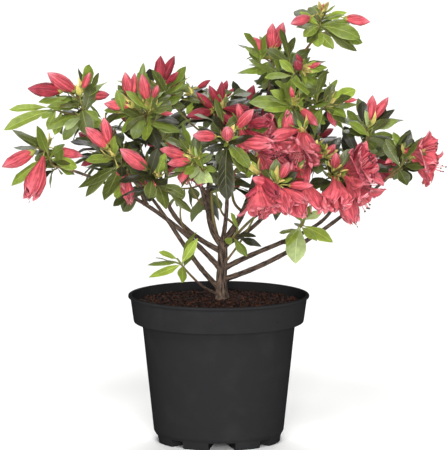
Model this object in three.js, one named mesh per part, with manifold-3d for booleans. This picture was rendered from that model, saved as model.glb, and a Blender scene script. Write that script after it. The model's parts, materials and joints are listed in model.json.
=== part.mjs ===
// Evergreen azalea in its three-litre nursery container.
// Millimetres, +Z up, front at -Y; the origin is the middle of the container's flat underside.
//
// The plant is a trunk, boughs that each end where they enter a mass of foliage, and the masses:
// twigs, leaves and blooms fused into one solid each. Directions on the plant are given as seen
// from the front: tilt is degrees up from +X in the XZ plane, lean is degrees towards the front.

import * as THREE from 'three';
import { mergeVertices } from 'three/addons/utils/BufferGeometryUtils.js';
import Module from 'manifold-3d';

const wasm = await Module();
wasm.setup();
const { Manifold, Mesh: SolidMesh } = wasm;

// ---------------------------------------------------------------- driving dimensions

const CLEARANCE = 0.3; // gap between touching pieces
const SLIVER = 0.05; // facets thinner than this are left over from joins
const ROUND = 36; // facets round the container

const POT = {
  height: 155,
  rimRadius: 95,
  rimThickness: 2.6, // how deep the rolled rim is
  collarHeight: 29,
  collarTop: 92.6,
  collarFoot: 89.1,
  collarWall: 1.8,
  bodyTop: 80.4,
  bodyFoot: 68.3,
  bodyWall: 1.6,
  plinthTop: 66.2,
  plinthFoot: 64.8,
  plinthHeight: 9,
  floorTop: 11,
};
const CHANNEL = { height: 8, inner: 22, turn: 3 }; // drainage channels across the underside
const WIDE_MOUTH = { outer: 15.4, inner: 6 }; // half widths at the wall and at the middle
const NARROW_MOUTH = { outer: 8.4, inner: 4 };
const DRAIN = { radius: 4, reach: 52 };

const SOIL = { edge: 144.8, crown: 149.5, seat: 15 };

const TRUNK = {
  foot: [3.4, 0, SOIL.crown + CLEARANCE],
  bends: [[1, 0, 171], [6, 1, 191]],
  tip: [3.4, 0, 212],
  footRadius: 6.2,
  tipRadius: 4.9,
  flare: 2.6, // extra radius of the root flare at the soil
};

// widest: how far past its middle a leaf is widest; heel: how deep its foot sits in the twig.
const LEAF = { thickness: 0.9, arch: 0.07, heel: 0.6, widest: 0.07, neck: 0.2 };
// leafy: the twig's length beyond the end of its bough; fork: where side twigs leave it.
const TWIG = { radius: 1.3, stalk: 0.9, leafy: 24, spacing: 1.7, fork: 0.4, bow: 6 };
const CROWN_TOP = 463; // no leaf stands higher than the topmost bud
const SPACE_MARGIN = 0.5; // how far a leaf stays inside its own mass's space
const LIMB_MARGIN = 0.7; // how far a leaf stays off the limbs
const SEED = 1907;

const COLOUR = {
  pot: 0x2b2b2b,
  soil: 0x24160f,
  trunk: 0x6c5950,
  bough: 0x635445,
  foliage: 0x6b7f30,
};

// ---------------------------------------------------------------- limbs
// [name, parent, place on the parent, two bends of the curve, tip, root radius, tip radius]

const LIMBS = [
  ['bough_left', 'trunk', 0.15, [-40, -20, 201], [-54, -42, 258], [-103, -48, 297], 2.9, 1.4],
  ['bough_far_left', 'trunk', 0.48, [-43, -12, 236], [-102, -28, 277], [-173, -20, 294], 2.9, 1.4],
  ['bough_upper_left', 'bough_far_left', 0.5, [-100, -1, 316], [-129, 2, 328], [-142, 6, 350], 2.0, 1.3],
  ['bough_high_left', 'trunk', 0.8, [-79, 47, 234], [-50, 20, 274], [-74, -18, 338], 3.0, 1.4],
  ['bough_mid_left', 'bough_high_left', 0.5, [-51, 38, 292], [-60, 48, 324], [-62, 44, 352], 2.0, 1.3],
  ['bough_front_left', 'bough_high_left', 0.45, [-53, -14, 270], [-57, -58, 264], [-62, -86, 281], 1.9, 1.3],
  ['bough_centre_left', 'trunk', 0.93, [-25, 2, 233], [-2, 66, 290], [-6, 62, 340], 3.7, 1.5],
  ['bough_low_front', 'bough_centre_left', 0.32, [-13, -27, 243], [-19, -42, 275], [-22, -62, 296], 2.1, 1.3],
  ['bough_centre_front', 'trunk', 0.97, [12, -17, 252], [7, -50, 284], [9, -74, 319], 2.5, 1.4],
  ['bough_high_right', 'trunk', 0.95, [49, 13, 257], [43, 30, 332], [57, 26, 391], 3.6, 1.6],
  ['bough_top', 'bough_high_right', 0.78, [68, 14, 379], [85, 2, 404], [103, -5, 430], 2.2, 1.5],
  ['bough_front_high', 'bough_high_right', 0.5, [49, -8, 316], [66, -28, 331], [80, -39, 354], 2.1, 1.4],
  ['bough_far_right', 'trunk', 0.32, [75, -34, 196], [138, -25, 245], [191, -9, 293], 3.0, 1.4],
  ['bough_right', 'trunk', 0.5, [67, -6, 218], [136, -2, 222], [117, -70, 284], 2.9, 1.4],
  ['bough_upper_right', 'bough_far_right', 0.7, [146, 2, 262], [157, 15, 289], [155, 19, 316], 2.0, 1.3],
  ['bough_low_centre', 'trunk', 0.9, [55, -7, 233], [57, -45, 260], [58, -94, 278], 2.6, 1.3],
  ['bough_centre_right', 'bough_low_centre', 0.42, [67, -35, 256], [89, -47, 275], [103, -52, 303], 2.0, 1.3],
  ['bough_low_left', 'trunk', 0.06, [-17, -21, 163], [-26, -32, 176], [-36, -42, 189], 1.5, 1.2],
  ['bough_low_right', 'bough_right', 0.34, [77, -31, 211], [80, -40, 221], [83, -49, 232], 1.4, 1.2],
  ['bough_inner', 'trunk', 0.86, [9, -9, 211], [14, -15, 216], [18, -20, 222], 1.4, 1.2],
  ['bough_rear_left', 'bough_centre_left', 0.42, [-30, 60, 285], [-80, 85, 292], [-112, 82, 290], 2.3, 1.3],
  ['bough_rear_mid_left', 'bough_centre_left', 0.62, [-20, 80, 300], [-42, 110, 305], [-52, 118, 301], 2.0, 1.3],
  ['bough_rear_centre', 'bough_centre_left', 0.78, [5, 90, 310], [18, 120, 318], [22, 132, 317], 1.9, 1.3],
  ['bough_rear_right', 'bough_high_right', 0.42, [60, 60, 290], [85, 95, 292], [92, 110, 295], 2.1, 1.3],
  ['bough_rear_far_right', 'bough_high_right', 0.3, [60, 45, 285], [115, 70, 280], [142, 76, 277], 2.2, 1.3],
  ['bough_rear_high', 'bough_high_right', 0.68, [50, 50, 350], [62, 65, 358], [68, 70, 360], 1.9, 1.3],
];

// ---------------------------------------------------------------- foliage
// A mass is a list of shoots. A shoot has the place of its tip, its blooms, the leaves that
// stand out from it, and how many leaves of the whorl behind them the seeded rule adds.
// Bloom: [kind, tilt, lean, reach, length]. Leaf: [tilt, lean, reach, width].

const MASSES = {
  left: [
    shoot([-109, -50, 309], [
      ['bud', 132, 10, 41, 32], ['bud', 106, 5, 40, 29], ['slim', -71, 10, 39, 25],
    ], [
      [83, 20, 28, 12], [-101, 20, 53, 20], [-136, 0, 51, 14], [-122, -15, 57, 13],
      [-86, -20, 52, 14], [12, 0, 26, 13], [-170, 30, 33, 13],
    ], 4),
  ],
  far_left: [
    shoot([-179, -20, 315], [
      ['bud', -152, 0, 52, 37], ['limp', -107, 20, 58, 45], ['slim', -20, -15, 42, 32],
    ], [
      [157, 15, 34, 13], [-130, 10, 59, 14], [-103, -15, 62, 13], [-37, 0, 40, 14],
      [-24, -20, 41, 12], [-68, -40, 50, 12],
    ], 4),
  ],
  upper_left: [
    shoot([-146, 8, 367], [
      ['bud', 175, 10, 54, 36], ['bud', 147, 15, 40, 36], ['slim', 60, 30, 29, 22], ['bud', -8, -25, 36, 25],
    ], [
      [-166, 0, 44, 14], [-144, 50, 36, 16], [-108, 10, 53, 12], [-75, 20, 50, 18],
      [-85, -30, 52, 16], [18, -20, 33, 12],
    ], 4),
    shoot([-178, 20, 350], [], [
      [-176, 0, 42, 9], [-154, 15, 54, 15], [-78, 10, 30, 13], [-95, -20, 25, 9], [-124, 45, 18, 9],
    ], 2),
  ],
  high_left: [
    shoot([-72, -22, 351], [
      ['bud', 101, 10, 40, 29], ['bud', 73, 30, 34, 17], ['slim', -7, 0, 25, 14],
    ], [
      [-75, 25, 44, 15], [-34, 0, 41, 14], [-96, 45, 40, 14],
    ], 3),
    shoot([-91, -14, 355], [
      ['bud', 100, 0, 36, 26], ['slim', 83, -15, 35, 24], ['bud', 173, 15, 29, 28],
    ], [
      [-110, 20, 32, 13], [-86, 15, 35, 13], [74, -20, 47, 8], [-144, -20, 28, 13],
    ], 3),
  ],
  mid_left: [
    shoot([-64, 45, 365], [
      ['bud', 83, 0, 37, 30], ['slim', 65, -15, 41, 31], ['slim', 45, 20, 32, 21],
    ], [
      [11, 0, 34, 9], [-17, 10, 26, 13], [35, 20, 24, 8], [156, -20, 24, 10], [-110, 20, 28, 13],
    ], 6),
  ],
  front_left: [
    shoot([-63, -95, 293], [
      ['bud', 145, 15, 49, 37], ['slim', -108, 20, 21, 16],
    ], [
      [-75, 10, 37, 15], [-38, 0, 36, 14], [-130, -20, 27, 13], [70, 20, 27, 12], [175, 30, 28, 13],
    ], 4),
  ],
  centre_left: [
    shoot([-30, 75, 360], [
      ['slim', 30, 0, 25, 17],
    ], [
      [172, 0, 24, 10], [-101, 10, 24, 13], [-131, -20, 26, 12],
    ], 3),
    shoot([1, 85, 350], [
      ['bud', 68, 0, 23, 17], ['bud', -149, 20, 32, 27], ['slim', 39, 0, 20, 15], ['limp', -41, 30, 26, 19],
    ], [
      [152, 0, 20, 12], [-75, 10, 26, 13], [-9, 0, 28, 12], [-117, -10, 30, 13],
    ], 4),
  ],
  low_front: [
    shoot([-24, -72, 308], [
      ['bud', 167, 15, 39, 28], ['bud', -167, 20, 31, 26], ['slim', -123, 30, 33, 22], ['slim', -76, 20, 32, 24],
    ], [
      [-150, 0, 29, 10], [-126, -30, 31, 13], [-64, 30, 29, 14], [90, -30, 24, 12], [130, -20, 27, 10],
    ], 3),
  ],
  centre_front: [
    shoot([9, -88, 330], [
      ['bud', 170, 30, 42, 28], ['bud', 85, 65, 30, 30], ['bud', 49, 10, 41, 27], ['limp', -6, 20, 45, 35],
    ], [
      [124, 20, 30, 12], [-90, 10, 64, 19], [-49, 10, 56, 13], [-59, 40, 50, 13],
      [-150, -10, 27, 13], [-50, 50, 42, 13],
    ], 3),
  ],
  high_right: [
    shoot([55, 25, 403], [
      ['bud', 135, 10, 31, 25], ['bud', 90, 0, 35, 29], ['bud', 71, -10, 38, 30],
    ], [
      [161, 0, 30, 12], [-153, 10, 37, 13], [-73, 25, 43, 19], [-111, -20, 32, 13], [-45, 20, 32, 13],
    ], 4),
    shoot([87, -16, 393], [
      ['bud', 109, 20, 20, 16], ['slim', 20, 10, 21, 16], ['bud', 127, 60, 26, 24],
    ], [
      [15, -20, 34, 10], [2, 10, 32, 12], [-43, 0, 24, 12], [-55, -10, 28, 13], [-103, 30, 28, 13],
    ], 2),
  ],
  top: [
    shoot([107, -8, 450], [
      ['bud', -168, 35, 41, 26], ['bud', -8, 0, 51, 27], ['slim', 84, 20, 12, 10],
    ], [
      [-132, 25, 41, 14], [-31, 15, 48, 18], [-36, -15, 55, 15], [-47, -10, 55, 14],
      [-97, 30, 38, 14], [-70, 20, 39, 14], [-124, -30, 37, 13],
    ], 3),
  ],
  front_high: [
    shoot([78, -45, 362], [
      ['bud', -43, 15, 35, 26], ['slim', 104, 20, 19, 16],
    ], [
      [179, 0, 48, 16], [-168, 15, 36, 15], [-124, 20, 32, 14], [153, 0, 28, 12],
    ], 2),
    shoot([113, -40, 360], [
      ['bud', -75, 20, 26, 22], ['slim', 10, 10, 31, 15],
    ], [
      [27, 0, 32, 16], [-34, 20, 29, 15], [72, -10, 21, 12], [160, 40, 32, 13],
    ], 3),
  ],
  far_right: [
    shoot([191, -5, 308], [
      ['slim', -144, 20, 24, 20], ['open', 2, 25, 33, 32], ['open', -30, 0, 41, 31], ['slim', -121, 0, 27, 15],
    ], [
      [68, 0, 23, 12], [-42, -40, 33, 13], [117, -20, 21, 12], [-100, -30, 34, 13], [-160, -20, 27, 13],
    ], 4),
  ],
  right: [
    shoot([122, -80, 294], [
      ['open', 27, 30, 36, 31], ['open', -23, 20, 36, 30], ['limp', -72, 10, 54, 44], ['bud', -106, 10, 46, 26],
      ['bud', 96, 40, 30, 24],
    ], [
      [58, 0, 28, 13], [-132, -10, 27, 13], [0, -30, 45, 13], [-74, -20, 28, 14],
    ], 3),
  ],
  upper_right: [
    shoot([157, 20, 332], [
      ['bud', 80, 0, 31, 28], ['slim', 54, -15, 36, 30],
    ], [
      [8, 0, 31, 13], [-28, 10, 38, 13], [106, 20, 22, 9], [-168, 0, 22, 13], [-74, 10, 27, 13],
    ], 5),
  ],
  low_centre: [
    shoot([60, -105, 287], [
      ['limp', -153, 15, 33, 26], ['limp', -117, 25, 34, 28], ['limp', -72, 20, 35, 28],
      ['limp', -34, 10, 35, 27], ['slim', -3, 15, 38, 27], ['bud', 166, 30, 30, 24], ['bud', 62, 35, 30, 24],
    ], [
      [146, -20, 22, 13], [23, -20, 24, 13], [93, 10, 24, 13], [-176, -30, 36, 13],
    ], 2),
  ],
  centre_right: [
    shoot([111, -60, 309], [
      ['open', -176, 15, 30, 28], ['slim', 153, 25, 48, 23], ['bud', 138, 50, 36, 24], ['bud', 51, 40, 20, 18],
    ], [
      [-115, 0, 22, 13], [51, 0, 24, 13], [160, -30, 33, 13], [117, 10, 26, 13],
    ], 3),
  ],
  low_left: [
    shoot([-43, -50, 200], [], [
      [159, 10, 21, 7], [-167, 0, 32, 9], [-149, 25, 38, 9], [-78, 30, 28, 9], [45, 0, 30, 9],
    ], 2),
  ],
  low_right: [
    shoot([89, -58, 244], [], [
      [-102, 20, 47, 20], [-119, 0, 35, 9], [-146, -20, 34, 8],
    ], 1),
  ],
  inner: [
    shoot([20, -25, 228], [], [
      [114, 10, 19, 8], [-72, 10, 31, 12], [-24, 0, 21, 6], [-127, -20, 22, 10],
    ], 0),
  ],
  rear_left: [
    shoot([-123, 86, 297], [['bud', 150, -40, 40, 30], ['bud', 60, -55, 38, 29], ['slim', -140, -30, 36, 24]], [], 11),
  ],
  rear_mid_left: [
    shoot([-57, 126, 311], [['bud', 120, -35, 40, 30], ['limp', 40, -60, 42, 31], ['slim', -30, -45, 36, 24]], [], 11),
  ],
  rear_centre: [
    shoot([25, 140, 326], [['bud', 70, -30, 40, 30], ['bud', 140, -55, 38, 29], ['open', 0, -60, 36, 30]], [], 11),
  ],
  rear_right: [
    shoot([96, 118, 303], [['bud', 90, -40, 40, 30], ['slim', 20, -35, 36, 24], ['limp', -60, -50, 40, 30]], [], 11),
  ],
  rear_far_right: [
    shoot([151, 82, 285], [['bud', 40, -30, 40, 30], ['open', -10, -45, 36, 30], ['slim', 110, -35, 34, 24]], [], 11),
  ],
  rear_high: [
    shoot([72, 77, 368], [['bud', 100, -20, 38, 29], ['bud', 50, -50, 38, 29]], [], 10),
  ],
};

// Each kind of bloom: facets, its widest radius as a share of its length, and its outline as
// [radius, place] shares from the stalk to the tip.
const BLOOMS = {
  bud: { facets: 4, girth: 0.22, outline: [[0, 0], [1, 0.44], [0.72, 0.78], [0, 1]] },
  slim: { facets: 4, girth: 0.17, outline: [[0, 0], [1, 0.5], [0, 1]] },
  limp: { facets: 4, girth: 0.25, outline: [[0, 0], [0.4, 0.2], [1, 0.8], [0, 1]] },
  open: { facets: 10, girth: 0.5, outline: [[0, 0], [0.24, 0.5], [1, 1], [0, 0.6]] },
};
const PETAL_NOTCH = 0.62; // how far in the rim of an open flower comes between its petals

// ---------------------------------------------------------------- small helpers

function shoot(tip, blooms, leaves, whorl) {
  return { tip: new THREE.Vector3(...tip), blooms, leaves, whorl };
}

const vector = (list) => new THREE.Vector3(...list);

/** Unit direction from tilt and lean in degrees, as seen from the front. */
function heading(tilt, lean) {
  const up = THREE.MathUtils.degToRad(tilt);
  const out = THREE.MathUtils.degToRad(lean);
  return new THREE.Vector3(Math.cos(up) * Math.cos(out), -Math.sin(out), Math.sin(up) * Math.cos(out));
}

/** Repeatable random numbers from 0 to 1 (mulberry32). */
function seededRandom(seed) {
  let state = seed >>> 0;
  return () => {
    state = (state + 0x6d2b79f5) >>> 0;
    let mixed = state;
    mixed = Math.imul(mixed ^ (mixed >>> 15), mixed | 1);
    mixed ^= mixed + Math.imul(mixed ^ (mixed >>> 7), mixed | 61);
    return ((mixed ^ (mixed >>> 14)) >>> 0) / 4294967296;
  };
}

/** A closed mesh as a solid: shared vertices merged, collapsed facets dropped. */
function solidFrom(geometry) {
  const bare = geometry.clone();
  bare.deleteAttribute('normal');
  bare.deleteAttribute('uv');
  const merged = mergeVertices(bare, 1e-4);
  const index = Array.from(merged.index.array);
  const kept = [];
  for (let i = 0; i < index.length; i += 3) {
    const [a, b, c] = index.slice(i, i + 3);
    if (a !== b && b !== c && c !== a) kept.push(a, b, c);
  }
  const vertProperties = Float32Array.from(merged.attributes.position.array);
  return new Manifold(new SolidMesh({ numProp: 3, vertProperties, triVerts: Uint32Array.from(kept) }));
}

function geometryFrom(solid) {
  const mesh = solid.getMesh();
  const geometry = new THREE.BufferGeometry();
  geometry.setAttribute('position', new THREE.Float32BufferAttribute(mesh.vertProperties, 3));
  geometry.setIndex(Array.from(mesh.triVerts));
  geometry.computeVertexNormals();
  return geometry;
}

/** The largest body of a solid, without the slivers that joins leave: loose scraps and sealed hollows go. */
function mainBody(solid) {
  const bodies = solid.simplify(SLIVER).decompose();
  return bodies.reduce((most, body) => (body.volume() > most.volume() ? body : most));
}

/** A turned solid about Z from [radius, height] points that start and end on the axis. */
function turned(outline, facets, shape = (point) => point) {
  const geometry = new THREE.LatheGeometry(outline.map(([r, z]) => new THREE.Vector2(r, z)), facets);
  geometry.rotateX(Math.PI / 2);
  const position = geometry.attributes.position;
  const point = new THREE.Vector3();
  for (let i = 0; i < position.count; i += 1) {
    shape(point.fromBufferAttribute(position, i));
    position.setXYZ(i, point.x, point.y, point.z);
  }
  return geometry;
}

/** A closed tube along a curve whose radius follows a rule from root (0) to tip (1). */
function tube(curve, radiusAt, sides, steps) {
  const frames = curve.computeFrenetFrames(steps, false);
  const corners = [];
  for (let ring = 0; ring <= steps; ring += 1) {
    const along = ring / steps;
    const centre = curve.getPointAt(along);
    for (let side = 0; side < sides; side += 1) {
      const angle = (side / sides) * 2 * Math.PI;
      const spoke = frames.normals[ring].clone().multiplyScalar(Math.cos(angle));
      spoke.addScaledVector(frames.binormals[ring], Math.sin(angle));
      corners.push(centre.clone().addScaledVector(spoke, radiusAt(along)));
    }
  }
  const faces = [];
  for (let ring = 0; ring < steps; ring += 1) {
    for (let side = 0; side < sides; side += 1) {
      const next = (side + 1) % sides;
      const low = ring * sides;
      const high = low + sides;
      faces.push(low + side, low + next, high + next, low + side, high + next, high + side);
    }
  }
  const last = steps * sides;
  for (let side = 1; side < sides - 1; side += 1) {
    faces.push(0, side + 1, side, last, last + side, last + side + 1);
  }
  const geometry = new THREE.BufferGeometry();
  geometry.setAttribute('position', new THREE.Float32BufferAttribute(corners.flatMap((c) => c.toArray()), 3));
  geometry.setIndex(faces);
  return geometry;
}

const straightTube = (from, to, fromRadius, toRadius, sides = 3) =>
  tube(new THREE.LineCurve3(from, to), (t) => THREE.MathUtils.lerp(fromRadius, toRadius, t), sides, 1);

// ---------------------------------------------------------------- container and soil

function potOutline() {
  const top = POT.height;
  const lip = top - POT.rimThickness;
  const shelf = top - POT.collarHeight;
  const corner = 1.5;
  return [
    [0, 0],
    [POT.plinthFoot - 2, 0],
    [POT.plinthFoot, 2],
    [POT.plinthTop, POT.plinthHeight],
    [POT.bodyFoot, POT.plinthHeight + 2.5],
    [POT.bodyTop, shelf],
    [POT.collarFoot - corner, shelf],
    [POT.collarFoot, shelf + corner],
    [POT.collarTop, lip - 0.8],
    [POT.rimRadius, lip],
    [POT.rimRadius, top - 0.7],
    [POT.rimRadius - 0.8, top],
    [POT.collarTop - POT.collarWall, top],
    [POT.collarFoot - POT.collarWall, shelf + POT.collarWall],
    [POT.bodyTop - POT.bodyWall, shelf + POT.collarWall],
    [POT.bodyFoot - POT.bodyWall, POT.floorTop],
    [0, POT.floorTop],
  ];
}

/** A channel under the pot that narrows from its mouth in the wall towards the middle. */
function drainChannel(mouth, angle) {
  const plan = new THREE.Shape([
    new THREE.Vector2(CHANNEL.inner, -mouth.inner),
    new THREE.Vector2(POT.rimRadius, -mouth.outer * 1.3),
    new THREE.Vector2(POT.rimRadius, mouth.outer * 1.3),
    new THREE.Vector2(CHANNEL.inner, mouth.inner),
  ]);
  const cut = new THREE.ExtrudeGeometry(plan, { depth: CHANNEL.height + 5, bevelEnabled: false });
  return cut.translate(0, 0, -5).rotateZ(angle);
}

function drainHole(angle) {
  const cut = new THREE.CylinderGeometry(DRAIN.radius, DRAIN.radius, POT.floorTop * 2, 8);
  return cut.rotateX(Math.PI / 2).translate(DRAIN.reach, 0, POT.floorTop).rotateZ(angle);
}

function buildPot() {
  let pot = solidFrom(turned(potOutline(), ROUND));
  for (let eighth = 0; eighth < 8; eighth += 1) {
    const angle = THREE.MathUtils.degToRad(-90 + CHANNEL.turn + eighth * 45);
    const mouth = eighth % 2 === 0 ? WIDE_MOUTH : NARROW_MOUTH;
    pot = pot.subtract(solidFrom(drainChannel(mouth, angle))).subtract(solidFrom(drainHole(angle)));
  }
  return pot;
}

function buildSoil() {
  const shelf = POT.height - POT.collarHeight;
  const collarSlope = (POT.collarTop - POT.collarFoot) / POT.collarHeight;
  const edgeRadius = POT.collarFoot + (SOIL.edge - shelf) * collarSlope - POT.collarWall - CLEARANCE;
  return solidFrom(turned([
    [0, POT.floorTop + CLEARANCE],
    [POT.bodyFoot - POT.bodyWall - CLEARANCE, POT.floorTop + CLEARANCE],
    [POT.bodyTop - POT.bodyWall - CLEARANCE, shelf + POT.collarWall + CLEARANCE],
    [POT.collarFoot - POT.collarWall - CLEARANCE, shelf + POT.collarWall + CLEARANCE],
    [edgeRadius, SOIL.edge],
    [edgeRadius * 0.7, THREE.MathUtils.lerp(SOIL.edge, SOIL.crown, 0.35)],
    [edgeRadius * 0.4, THREE.MathUtils.lerp(SOIL.edge, SOIL.crown, 0.75)],
    [SOIL.seat, SOIL.crown],
    [0, SOIL.crown],
  ], ROUND / 2));
}

// ---------------------------------------------------------------- trunk and boughs

/** The stretch of a curve from its root to a share of its length, as a curve of its own. */
class Stretch extends THREE.Curve {
  constructor(whole, from, to) {
    super();
    Object.assign(this, { whole, from, to });
  }

  getPoint(t, target = new THREE.Vector3()) {
    return this.whole.getPointAt(THREE.MathUtils.lerp(this.from, this.to, t), target);
  }
}

/** A limb's curve, how thick it is along it, and points down its middle for the leaves to miss. */
function makeLimb(whole, radiusAt, sides, leafy) {
  const length = whole.getLength();
  const bare = 1 - Math.min(leafy, length / 2) / length;
  const curve = new Stretch(whole, 0, bare);
  const steps = Math.max(2, Math.ceil(curve.getLength() / 26));
  const watch = curve.getSpacedPoints(Math.ceil(curve.getLength() / 3));
  return {
    whole,
    bare,
    curve,
    sides,
    steps,
    radiusAt,
    beads: watch.map((centre, i) => ({ centre, radius: radiusAt(i / (watch.length - 1)) })),
  };
}

/** The limb as a solid, swollen all over by `grow` where it is to cut its neighbours. */
function limbSolid(limb, grow = 0) {
  const swell = grow / Math.cos(Math.PI / limb.sides);
  const body = solidFrom(tube(limb.curve, (t) => limb.radiusAt(t) + swell, limb.sides, limb.steps));
  if (grow === 0) return body;
  const end = limb.curve.getPoint(1);
  const onward = limb.curve.getTangent(1);
  const cap = straightTube(end.clone().addScaledVector(onward, -grow), end.clone().addScaledVector(onward, grow),
    limb.radiusAt(1) + swell, limb.radiusAt(1) + swell, limb.sides);
  return body.add(solidFrom(cap));
}

/** A curve as straight stretches, so that what starts on it is inside the tube made along it. */
class Bent extends THREE.Curve {
  constructor(smooth, steps) {
    super();
    Object.assign(this, { steps, corners: smooth.getSpacedPoints(steps) });
  }

  getPoint(t, target = new THREE.Vector3()) {
    const along = THREE.MathUtils.clamp(t, 0, 1) * this.steps;
    const first = Math.min(Math.floor(along), this.steps - 1);
    return target.copy(this.corners[first]).lerp(this.corners[first + 1], along - first);
  }
}

const limbs = new Map();
const trunkCurve = new THREE.CubicBezierCurve3(
  vector(TRUNK.foot), vector(TRUNK.bends[0]), vector(TRUNK.bends[1]), vector(TRUNK.tip));
limbs.set('trunk', makeLimb(trunkCurve, (t) =>
  THREE.MathUtils.lerp(TRUNK.footRadius, TRUNK.tipRadius, t) + TRUNK.flare * Math.max(0, 1 - t * 4) ** 2, 8, 0));

for (const [name, parent, place, bendA, bendB, tip, rootRadius, tipRadius] of LIMBS) {
  const root = limbs.get(parent).whole.getPoint(place);
  const curve = new THREE.CubicBezierCurve3(root, vector(bendA), vector(bendB), vector(tip));
  limbs.set(name, makeLimb(curve, (t) => THREE.MathUtils.lerp(rootRadius, tipRadius, t), 5, TWIG.leafy));
}

function buildTrunk() {
  const seat = new THREE.BoxGeometry(60, 60, 20).translate(TRUNK.foot[0], 0, TRUNK.foot[2] - 10);
  return limbSolid(limbs.get('trunk')).subtract(solidFrom(seat));
}

/** Every limb cut clear of the limbs that came before it, so that each starts at its parent's bark. */
function buildLimbs() {
  const solids = new Map([['trunk', buildTrunk()]]);
  const swollen = [limbSolid(limbs.get('trunk'), CLEARANCE)];
  for (const [name] of LIMBS) {
    const limb = limbs.get(name);
    const clear = swollen.reduce((solid, neighbour) => solid.subtract(neighbour), limbSolid(limb));
    solids.set(name, mainBody(clear));
    swollen.push(limbSolid(limb, CLEARANCE));
  }
  return solids;
}

// ---------------------------------------------------------------- the space of each mass

/** A mass's heart is the middle of all that its table row places, and its room their spread. */
function measureSpace(shoots) {
  const marks = shoots.flatMap((one) => [
    one.tip,
    ...one.blooms.map(([, tilt, lean, reach]) => one.tip.clone().addScaledVector(heading(tilt, lean), reach)),
    ...one.leaves.map(([tilt, lean, reach]) => one.tip.clone().addScaledVector(heading(tilt, lean), reach)),
  ]);
  const heart = marks.reduce((sum, mark) => sum.add(mark), new THREE.Vector3()).divideScalar(marks.length);
  const spread = marks.reduce((sum, mark) => sum + mark.distanceToSquared(heart), 0) / marks.length;
  return { heart, spread };
}

const spaces = new Map(Object.entries(MASSES).map(([name, shoots]) => [name, measureSpace(shoots)]));

/** Whether a point is nearer to its own mass's heart than to any other's, by their spreads. */
function inSpace(name, point) {
  if (point.z > CROWN_TOP) return false;
  const own = spaces.get(name);
  const ownShare = point.distanceToSquared(own.heart) - own.spread;
  for (const [other, space] of spaces) {
    if (other !== name) {
      const share = point.distanceToSquared(space.heart) - space.spread;
      if (share - ownShare < 2 * SPACE_MARGIN * own.heart.distanceTo(space.heart)) return false;
    }
  }
  return true;
}

// ---------------------------------------------------------------- leaves and blooms

/** A leaf's place: its frame of length, width and upper face, and its six corners. */
function layLeaf(base, tip, width, face) {
  const along = tip.clone().sub(base).normalize();
  const upper = face.clone().addScaledVector(along, -face.dot(along)).normalize();
  const across = upper.clone().cross(along);
  const heel = base.clone().addScaledVector(along, -LEAF.heel);
  const length = heel.distanceTo(tip);
  const middle = heel.clone().addScaledVector(along, length * (0.5 + LEAF.widest))
    .addScaledVector(upper, length * LEAF.arch);
  const corners = [
    heel, tip,
    middle.clone().addScaledVector(across, width / 2), middle.clone().addScaledVector(across, -width / 2),
    middle.clone().addScaledVector(upper, LEAF.thickness / 2),
    middle.clone().addScaledVector(upper, -LEAF.thickness / 2),
  ];
  return { heel, along, across, upper, length, width, corners };
}

/** Whether a bead of a limb or bloom comes within the margin of the leaf's blade. */
function leafTouches(leaf, bead) {
  const offset = bead.centre.clone().sub(leaf.heel);
  const reach = bead.radius + LIMB_MARGIN;
  const u = offset.dot(leaf.along);
  if (u < -reach || u > leaf.length + reach) return false;
  const share = THREE.MathUtils.clamp(u / leaf.length / (0.5 + LEAF.widest), 0, 2);
  const swell = share < 1 ? share : Math.max(0, (1 - u / leaf.length) / (0.5 - LEAF.widest));
  if (Math.abs(offset.dot(leaf.across)) > (leaf.width / 2) * swell + reach) return false;
  return Math.abs(offset.dot(leaf.upper) - LEAF.arch * leaf.length * swell) < reach + LEAF.thickness / 2;
}

/** Whether a straight edge passes through a triangle. */
function cuts([from, to], [a, b, c]) {
  const span = to.clone().sub(from);
  const ray = new THREE.Ray(from, span.clone().normalize());
  const hit = ray.intersectTriangle(a, b, c, false, new THREE.Vector3());
  return hit !== null && hit.distanceTo(from) < span.length();
}

/** Whether two blades cut through each other beyond the narrow part where both start. */
function leavesCross(one, other) {
  const outline = ({ heel, corners: [, tip, left, right] }) => {
    const neck = heel.clone().lerp(tip, LEAF.neck);
    const edges = [[neck, left], [left, tip], [neck, right], [right, tip], [left, right]];
    return { edges, faces: [[neck, left, right], [tip, left, right]] };
  };
  const [a, b] = [outline(one), outline(other)];
  return a.edges.some((edge) => b.faces.some((face) => cuts(edge, face)))
    || b.edges.some((edge) => a.faces.some((face) => cuts(edge, face)));
}

function leafSolid(leaf) {
  const blade = new THREE.OctahedronGeometry(1);
  const position = blade.attributes.position;
  const [heel, tip, left, right, top, bottom] = leaf.corners;
  for (let i = 0; i < position.count; i += 1) {
    let corner = position.getX(i) < -0.5 ? heel : tip;
    if (position.getY(i) > 0.5) corner = left;
    else if (position.getY(i) < -0.5) corner = right;
    else if (position.getZ(i) > 0.5) corner = top;
    else if (position.getZ(i) < -0.5) corner = bottom;
    position.setXYZ(i, corner.x, corner.y, corner.z);
  }
  return solidFrom(blade);
}

/** A bloom's place: its stalk's root, the ends of its axis, its girth, and points that bound it. */
function layBloom(kind, root, tip, length) {
  const direction = tip.clone().sub(root).normalize();
  const base = tip.clone().addScaledVector(direction, -length);
  const girth = BLOOMS[kind].girth * length;
  const turn = new THREE.Quaternion().setFromUnitVectors(new THREE.Vector3(0, 0, 1), direction);
  const middle = kind === 'open' ? tip : base.clone().lerp(tip, 0.6);
  const bound = girth * Math.SQRT2;
  const corners = [[bound, 0], [-bound, 0], [0, bound], [0, -bound]].map(([x, y]) =>
    middle.clone().add(new THREE.Vector3(x, y, 0).applyQuaternion(turn)));
  return { kind, root, base, tip, length, girth, turn, corners: [base, tip, ...corners] };
}

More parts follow.
